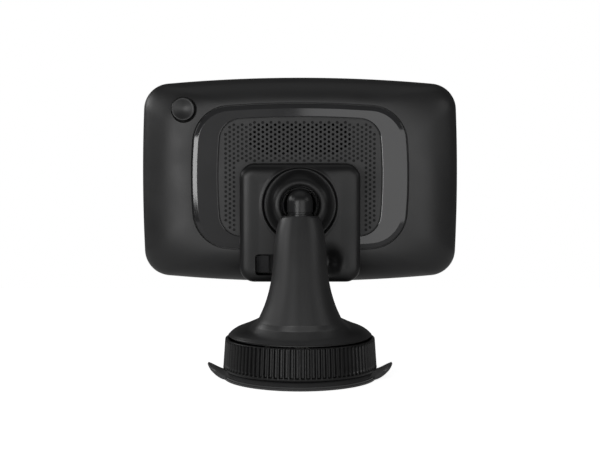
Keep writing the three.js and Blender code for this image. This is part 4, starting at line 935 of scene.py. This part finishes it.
def make_arm():
    """The leaning neck and the skirt it stands on. At each height two circles, the neck's with its
    back on the leaning edge and the skirt's about the axis, are joined by a soft maximum."""
    base = bpy.context.scene.navigator_base
    count = 160
    theta = np.arange(count) * TURN / count
    low, high = ARM_LOW.z, ARM_HIGH.z
    rise = np.concatenate([(0, 0.5, 0.62), np.linspace(0.8, 10, 36), np.linspace(10, 48, 40)[1:],
                           np.linspace(48, (high - low) / MM, 16)[1:]])
    bore, post_y = POST_RADIUS + 0.3 * MM, STEM_HIGH.y - POST_RADIUS

    def edge_line(z):
        """The arm's straight leaning edge: its distance behind the axis at a height."""
        return 17 * MM + (high - z) * base.arm_lean

    rows = []
    for height, arm, foot in zip(rise, soft_line(ARM_STATIONS, rise), soft_line(SKIRT_STATIONS, rise)):
        z = low + height * MM
        back = min(edge_line(z), (30.6 - 0.35 * min(height, 6)) * MM)
        centre = back - arm * MM
        origin = centre if height > 10 else centre * height / 10
        reach_arm = circle_reach(theta, centre - origin, arm * MM)
        reach_foot = circle_reach(theta, -origin, max(foot, 0.5) * MM) if height < 9.5 else 0 * theta
        soft = 0.35 * MM
        blend = soft * np.exp(-abs(reach_arm - reach_foot) / soft) / 2
        reach = np.maximum(reach_arm, reach_foot) + blend
        if height < 0.7:  # the lowest rings stay within the skirt's circle
            reach = np.minimum(np.where(reach_foot > 0, reach_foot, reach), reach)
        rows.append(np.stack([reach * np.cos(theta), origin + reach * np.sin(theta),
                              np.full(count, z)], 1))
    circle = np.stack([np.cos(theta), np.sin(theta)], 1)

    def disc(radius, y, z):
        """A round ring whose centre stands y behind the axis."""
        return np.stack([radius * circle[:, 0], y + radius * circle[:, 1], np.full(count, z)], 1)

    plug = high - 14 * MM
    wall, floor = 2.2 * MM, 2 * MM
    rows += [disc(bore + 0.5 * MM, post_y, high - 0.1 * MM), disc(bore, post_y, high - 0.5 * MM),
             disc(bore, post_y, plug)]
    for height in (38, 30, 22, 16, 11, 8):
        arm = float(soft_line(ARM_STATIONS, np.array([height]))[0]) * MM
        z = low + height * MM
        rows.append(disc(arm - wall, min(edge_line(z), 30.4 * MM) - arm, z))
    rows += [disc(26 * MM, 0, low + 3 * MM), disc(28.4 * MM, 0, low + floor),
             disc(9.2 * MM, 0, low + floor), disc(9.2 * MM, 0, low)]
    arm_skin = raw_object("arm_shell_skin", *band(rows))
    finish_piece(arm_skin, "base", "arm_plastic", "arm_shell", 40)


def make_dial():
    """The locking dial: a ribbed rim between two plain bands. A rib is a flat-topped wave
    tanh(k cos(n t)) cut into the rim and faded out towards both bands."""
    base = bpy.context.scene.navigator_base
    per_rib = 10
    count = base.ribs * per_rib
    theta = np.arange(count) * TURN / count
    low, high = DIAL_LOW.z, DIAL_HIGH.z
    bottom = (DIAL_HIGH.x - DIAL_LOW.x) / 2
    top = bottom - 0.9 * MM
    wave = (1 - np.tanh(2.2 * (np.cos(base.ribs * theta) - 0.35)) / math.tanh(2.2)) / 2
    levels = [(0, 0.5, 0), (0.02, 0.15, 0), (0.05, 0, 0), (0.075, 0, 0), (0.09, 0.05, 0.4),
              (0.105, 0.0, 1), (0.2, 0.0, 1), (0.5, 0, 1), (0.8, 0, 1), (0.9, 0, 1), (0.955, 0, 1),
              (0.965, 0.05, 0.5), (0.975, 0.08, 0), (0.99, 0.15, 0), (1, 0.4, 0)]
    circle = np.stack([np.cos(theta), np.sin(theta)], 1)
    rows = []

    def disc(radius, z):
        return np.concatenate([circle * radius, np.full((count, 1), z)], 1)

    web, inner = 7.2 * MM, 30.5 * MM
    rows += [disc(18.3 * MM, web), disc(inner, web), disc(inner, low)]
    for share, inset, deep in levels:
        radius = bottom + (top - bottom) * share - inset * MM - base.rib_depth * wave * deep
        rows.append(np.concatenate([circle * radius[:, None], np.full((count, 1),
                                                                      low + (high - low) * share)], 1))
    rows += [disc(top - 1.2 * MM, high), disc(top - 1.6 * MM, high - 1.2 * MM),
             disc(top - 2 * MM, web + 1.6 * MM),
             disc(18.3 * MM, web + 1.6 * MM)]
    dial = raw_object("locking_dial_skin", *band(rows))
    finish_piece(dial, "dial", "dial_rubber", "locking_dial", 42)


def make_suction_cup():
    """The rubber cup: a flat foot, a thin rim and two leaf-shaped pull tabs that curl up. The tabs
    follow bump(t) = (1 - (t / w)^2)^1.3 within w of either side, and rise with (share bump)^1.6."""
    count = 480
    theta = np.arange(count) * TURN / count
    from_side = abs((theta + math.pi / 2) % math.pi - math.pi / 2)
    window = math.radians(15)
    bump = np.clip(1 - (from_side / window) ** 2, 0, 1) ** 1.3
    radius = 33 * MM
    reach = CUP_HIGH.x - radius
    lift = 4.6 * MM
    circle = np.stack([np.cos(theta), np.sin(theta)], 1)

    def row(share, y0, thickness=0.0):
        """A ring a share of the way out along the rim's last stretch, y0 above the foot."""
        out = radius + reach * bump * share
        up = lift * (bump * share) ** 1.6
        return np.concatenate([circle * out[:, None], (up + y0 + thickness * bump)[:, None]], 1)

    def disc(size, z):
        """A round ring about the axis."""
        return np.concatenate([circle * size, np.full((count, 1), z)], 1)

    rows = [disc(8 * MM, 0), disc(20 * MM, 0), disc(28.4 * MM, 0), disc(29.2 * MM, 0.2 * MM),
            disc(31.6 * MM, 0.65 * MM)]
    shares = np.linspace(0, 1, 10)
    rows += [row(s, 0.9 * MM * (1 - s)) for s in shares[:-1]]
    rows += [row(1, 0.12 * MM, 0.2 * MM) - disc(0.25 * MM, 0), row(1, 0.45 * MM, 0.55 * MM),
             row(1, 0.85 * MM, 0.75 * MM) - disc(0.3 * MM, 0)]
    rows += [row(s, 1.7 * MM, 0.5 * MM * s) for s in shares[::-1][1:-1]]
    rows += [disc(32.8 * MM, 1.75 * MM), disc(32.6 * MM, 1.8 * MM), disc(32.3 * MM, 2.0 * MM),
             disc(31.6 * MM, 2.75 * MM), disc(31.0 * MM, 3.1 * MM), disc(30.2 * MM, 3.25 * MM),
             disc(24 * MM, 3.3 * MM), disc(12 * MM, 3.3 * MM)]
    cup = raw_object("suction_cup_skin", *skin(rows))
    finish_piece(cup, "base", "cup_rubber", "suction_cup", 50)


# ---------- the frame's own parts ----------
def dress_frame_nodes():
    """Gives every CAD node that is still shown the material of its slot."""
    slots = {part["node"]: part["material_slot"] for part in frame["record"]["subparts"]}
    for name, piece in frame["nodes"].items():
        piece.data.materials.clear()
        piece.data.materials.append(material_for(slots[name]))


# ---------- stage ----------
def softbox(name, place, aim, size, glow):
    """A rectangular area lamp that looks at a point and isn't seen by the camera. Its power is
    pi * area * radiance."""
    light = bpy.data.lights.new(name, "AREA")
    light.shape = "RECTANGLE"
    light.size, light.size_y = size
    light.energy = math.pi * size[0] * size[1] * glow
    box = bpy.data.objects.new(name, light)
    bpy.context.scene.collection.objects.link(box)
    box.location = place
    box.rotation_euler = (Vector(aim) - Vector(place)).to_track_quat("-Z", "Y").to_euler()
    box.visible_camera = False


def make_floor():
    """A pale floor that keeps the shadow."""
    settings = bpy.context.scene.navigator_stage
    reach = 0.36
    corners = [(-reach, -reach, 0), (reach, -reach, 0), (reach, reach, 0), (-reach, reach, 0)]
    floor = raw_object("studio_floor", corners, [[0, 1, 2, 3]])
    floor.location.z = -0.0002
    material, tree, shader = new_material("studio_floor")
    place = node(tree, "ShaderNodeTexCoord").outputs["Object"]
    patches = noise(tree, place, 6.0, 2.0)
    colour = list(settings.floor)
    tree.links.new(tint(tree, patches, [c * 0.995 for c in colour], colour),
                   shader.inputs["Base Color"])
    shader.inputs["Roughness"].default_value = 0.8
    shader.inputs["Specular IOR Level"].default_value = 0.1
    path = node(tree, "ShaderNodeLightPath")
    glow = node(tree, "ShaderNodeMath", {0: path.outputs["Is Camera Ray"], 1: 0.74, 2: 0.12},
                operation="MULTIPLY_ADD").outputs[0]
    tree.links.new(glow, shader.inputs["Emission Strength"])
    shader.inputs["Emission Color"].default_value = (1, 1, 1, 1)
    floor.data.materials.append(material)


def make_world():
    """A dim studio for light and reflections, and plain white where the camera sees past it all."""
    world = bpy.data.worlds.new("studio")
    bpy.context.scene.world = world
    world.use_nodes = True
    tree = world.node_tree
    tree.nodes.clear()
    dim = node(tree, "ShaderNodeBackground", {"Color": (1, 1, 1, 1), "Strength": 0.07})
    white = node(tree, "ShaderNodeBackground", {"Color": (1, 1, 1, 1), "Strength": 1.0})
    path = node(tree, "ShaderNodeLightPath")
    mix = node(tree, "ShaderNodeMixShader", {"Fac": path.outputs["Is Camera Ray"]})
    tree.links.new(dim.outputs[0], mix.inputs[1])
    tree.links.new(white.outputs[0], mix.inputs[2])
    node(tree, "ShaderNodeOutputWorld", {"Surface": mix.outputs[0]})


def make_lights():
    """A bright softbox left of the camera and a wide dim one right of it, a faint card between
    them, a wing high on either side, a rim lamp behind on the left, and one overhead."""
    stage = bpy.context.scene.navigator_stage
    head = Vector((0, 0, HEAD_MID.z))
    far = 1.0
    softbox("left_softbox", (0.53, far, 0.13), (0.52, 0, 0.13), (0.6, 0.2), stage.key)
    softbox("left_wing", (0.85, 0.32, 0.42), head, (0.5, 0.3), stage.key * 0.26)
    softbox("left_rim", (0.8, -0.26, 0.4), head, (0.5, 0.25), stage.key * 0.38)
    softbox("right_softbox", (-0.46, far, 0.0), (-0.46, 0, 0.0), (0.92, 0.66), stage.fill)
    softbox("right_wing", (-0.85, 0.35, 0.42), head, (0.5, 0.3), stage.fill * 0.7)
    softbox("centre_card", (0.17, far, 0.11), (0.17, 0, 0.11), (0.28, 0.4), stage.fill * 0.2)
    softbox("overhead_softbox", (0, 0.1, 1.0), head, (1.2, 0.8), stage.top)


def make_camera():
    """A camera behind the navigator, level with the head and tipped a little down."""
    settings = bpy.context.scene.navigator_stage
    data = bpy.data.cameras.new("camera")
    data.lens = settings.lens
    camera = bpy.data.objects.new("camera", data)
    bpy.context.scene.collection.objects.link(camera)
    camera.location = (0, settings.distance, HEAD_MID.z)
    camera.rotation_euler = (math.radians(90 - 2.5), 0, math.pi)
    bpy.context.scene.camera = camera


# ---------- operators ----------
class BuildStep:
    """What every step shares: it runs its builders in order. A builder that can't finish raises an
    error, which stops the script."""

    builders = ()

    def execute(self, context):
        for build in self.builders:
            build()
        return {"FINISHED"}


class NAVIGATOR_OT_rear_cover(BuildStep, Operator):
    """Builds the domed back of the head"""

    bl_idname = "navigator.rear_cover"
    bl_label = "Rear Cover"
    builders = (make_rear_cover,)


class NAVIGATOR_OT_trim_ring(BuildStep, Operator):
    """Builds the ring round the speaker grille"""

    bl_idname = "navigator.trim_ring"
    bl_label = "Trim Ring"
    builders = (make_trim_ring,)


class NAVIGATOR_OT_speaker_grille(BuildStep, Operator):
    """Builds the perforated grille"""

    bl_idname = "navigator.speaker_grille"
    bl_label = "Speaker Grille"
    builders = (make_speaker_grille,)


class NAVIGATOR_OT_power_button(BuildStep, Operator):
    """Builds the dished power button"""

    bl_idname = "navigator.power_button"
    bl_label = "Power Button"
    builders = (make_power_button,)


class NAVIGATOR_OT_screen_side(BuildStep, Operator):
    """Builds the front frame and the touch glass"""

    bl_idname = "navigator.screen_side"
    bl_label = "Screen Side"
    builders = (make_front_frame, make_touch_glass)


class NAVIGATOR_OT_dock(BuildStep, Operator):
    """Builds the dock's back shell"""

    bl_idname = "navigator.dock"
    bl_label = "Dock"
    builders = (make_dock_shell,)


class NAVIGATOR_OT_finger_collar(BuildStep, Operator):
    """Builds the fingers that hold the ball"""

    bl_idname = "navigator.finger_collar"
    bl_label = "Finger Collar"
    builders = (make_finger_collar,)


class NAVIGATOR_OT_ball_stem(BuildStep, Operator):
    """Builds the post, elbow, neck and ball"""

    bl_idname = "navigator.ball_stem"
    bl_label = "Ball Stem"
    builders = (make_ball_stem,)


class NAVIGATOR_OT_arm(BuildStep, Operator):
    """Builds the leaning arm and its skirt"""

    bl_idname = "navigator.arm"
    bl_label = "Arm"
    builders = (make_arm,)


class NAVIGATOR_OT_dial(BuildStep, Operator):
    """Builds the ribbed locking dial"""

    bl_idname = "navigator.dial"
    bl_label = "Locking Dial"
    builders = (make_dial,)


class NAVIGATOR_OT_suction_cup(BuildStep, Operator):
    """Builds the cup and its pull tabs"""

    bl_idname = "navigator.suction_cup"
    bl_label = "Suction Cup"
    builders = (make_suction_cup,)


class NAVIGATOR_OT_inner_parts(BuildStep, Operator):
    """Gives the frame's own parts their finishes"""

    bl_idname = "navigator.inner_parts"
    bl_label = "Inner Parts"
    builders = (dress_frame_nodes,)


class NAVIGATOR_OT_stage(BuildStep, Operator):
    """Builds the floor, the lights and the camera"""

    bl_idname = "navigator.stage"
    bl_label = "Stage"
    builders = (make_floor, make_world, make_lights, make_camera)


class NAVIGATOR_PT_sidebar(Panel):
    """Lists the steps that build the navigator"""

    bl_label = "Navigator"
    bl_idname = "NAVIGATOR_PT_sidebar"
    bl_space_type = "VIEW_3D"
    bl_region_type = "UI"
    bl_category = "Navigator"

    def draw(self, context):
        for step in STEPS:
            self.layout.operator(step.bl_idname)
        for settings in SETTINGS:
            box = self.layout.box()
            group = getattr(context.scene, settings)
            for name in group.bl_rna.properties.keys():
                if name not in {"rna_type", "name"}:
                    box.prop(group, name)


STEPS = (
    NAVIGATOR_OT_rear_cover,
    NAVIGATOR_OT_trim_ring,
    NAVIGATOR_OT_speaker_grille,
    NAVIGATOR_OT_power_button,
    NAVIGATOR_OT_screen_side,
    NAVIGATOR_OT_dock,
    NAVIGATOR_OT_finger_collar,
    NAVIGATOR_OT_ball_stem,
    NAVIGATOR_OT_arm,
    NAVIGATOR_OT_dial,
    NAVIGATOR_OT_suction_cup,
    NAVIGATOR_OT_inner_parts,
    NAVIGATOR_OT_stage,
)
SETTINGS = {
    "navigator_head": HeadSettings,
    "navigator_dock": DockSettings,
    "navigator_base": BaseSettings,
    "navigator_stage": StageSettings,
    "navigator_finish": FinishSettings,
}


def register():
    for kind in (*SETTINGS.values(), *STEPS, NAVIGATOR_PT_sidebar):
        bpy.utils.register_class(kind)
    for name, kind in SETTINGS.items():
        setattr(bpy.types.Scene, name, PointerProperty(type=kind))


def unregister():
    for name in SETTINGS:
        delattr(bpy.types.Scene, name)
    for kind in (NAVIGATOR_PT_sidebar, *STEPS[::-1], *SETTINGS.values()):
        bpy.utils.unregister_class(kind)


def main():
    register()
    bpy.context.scene.view_settings.view_transform = "Standard"
    for step in STEPS:
        group, name = step.bl_idname.split(".")
        getattr(getattr(bpy.ops, group), name)()


if __name__ == "__main__":
    main()
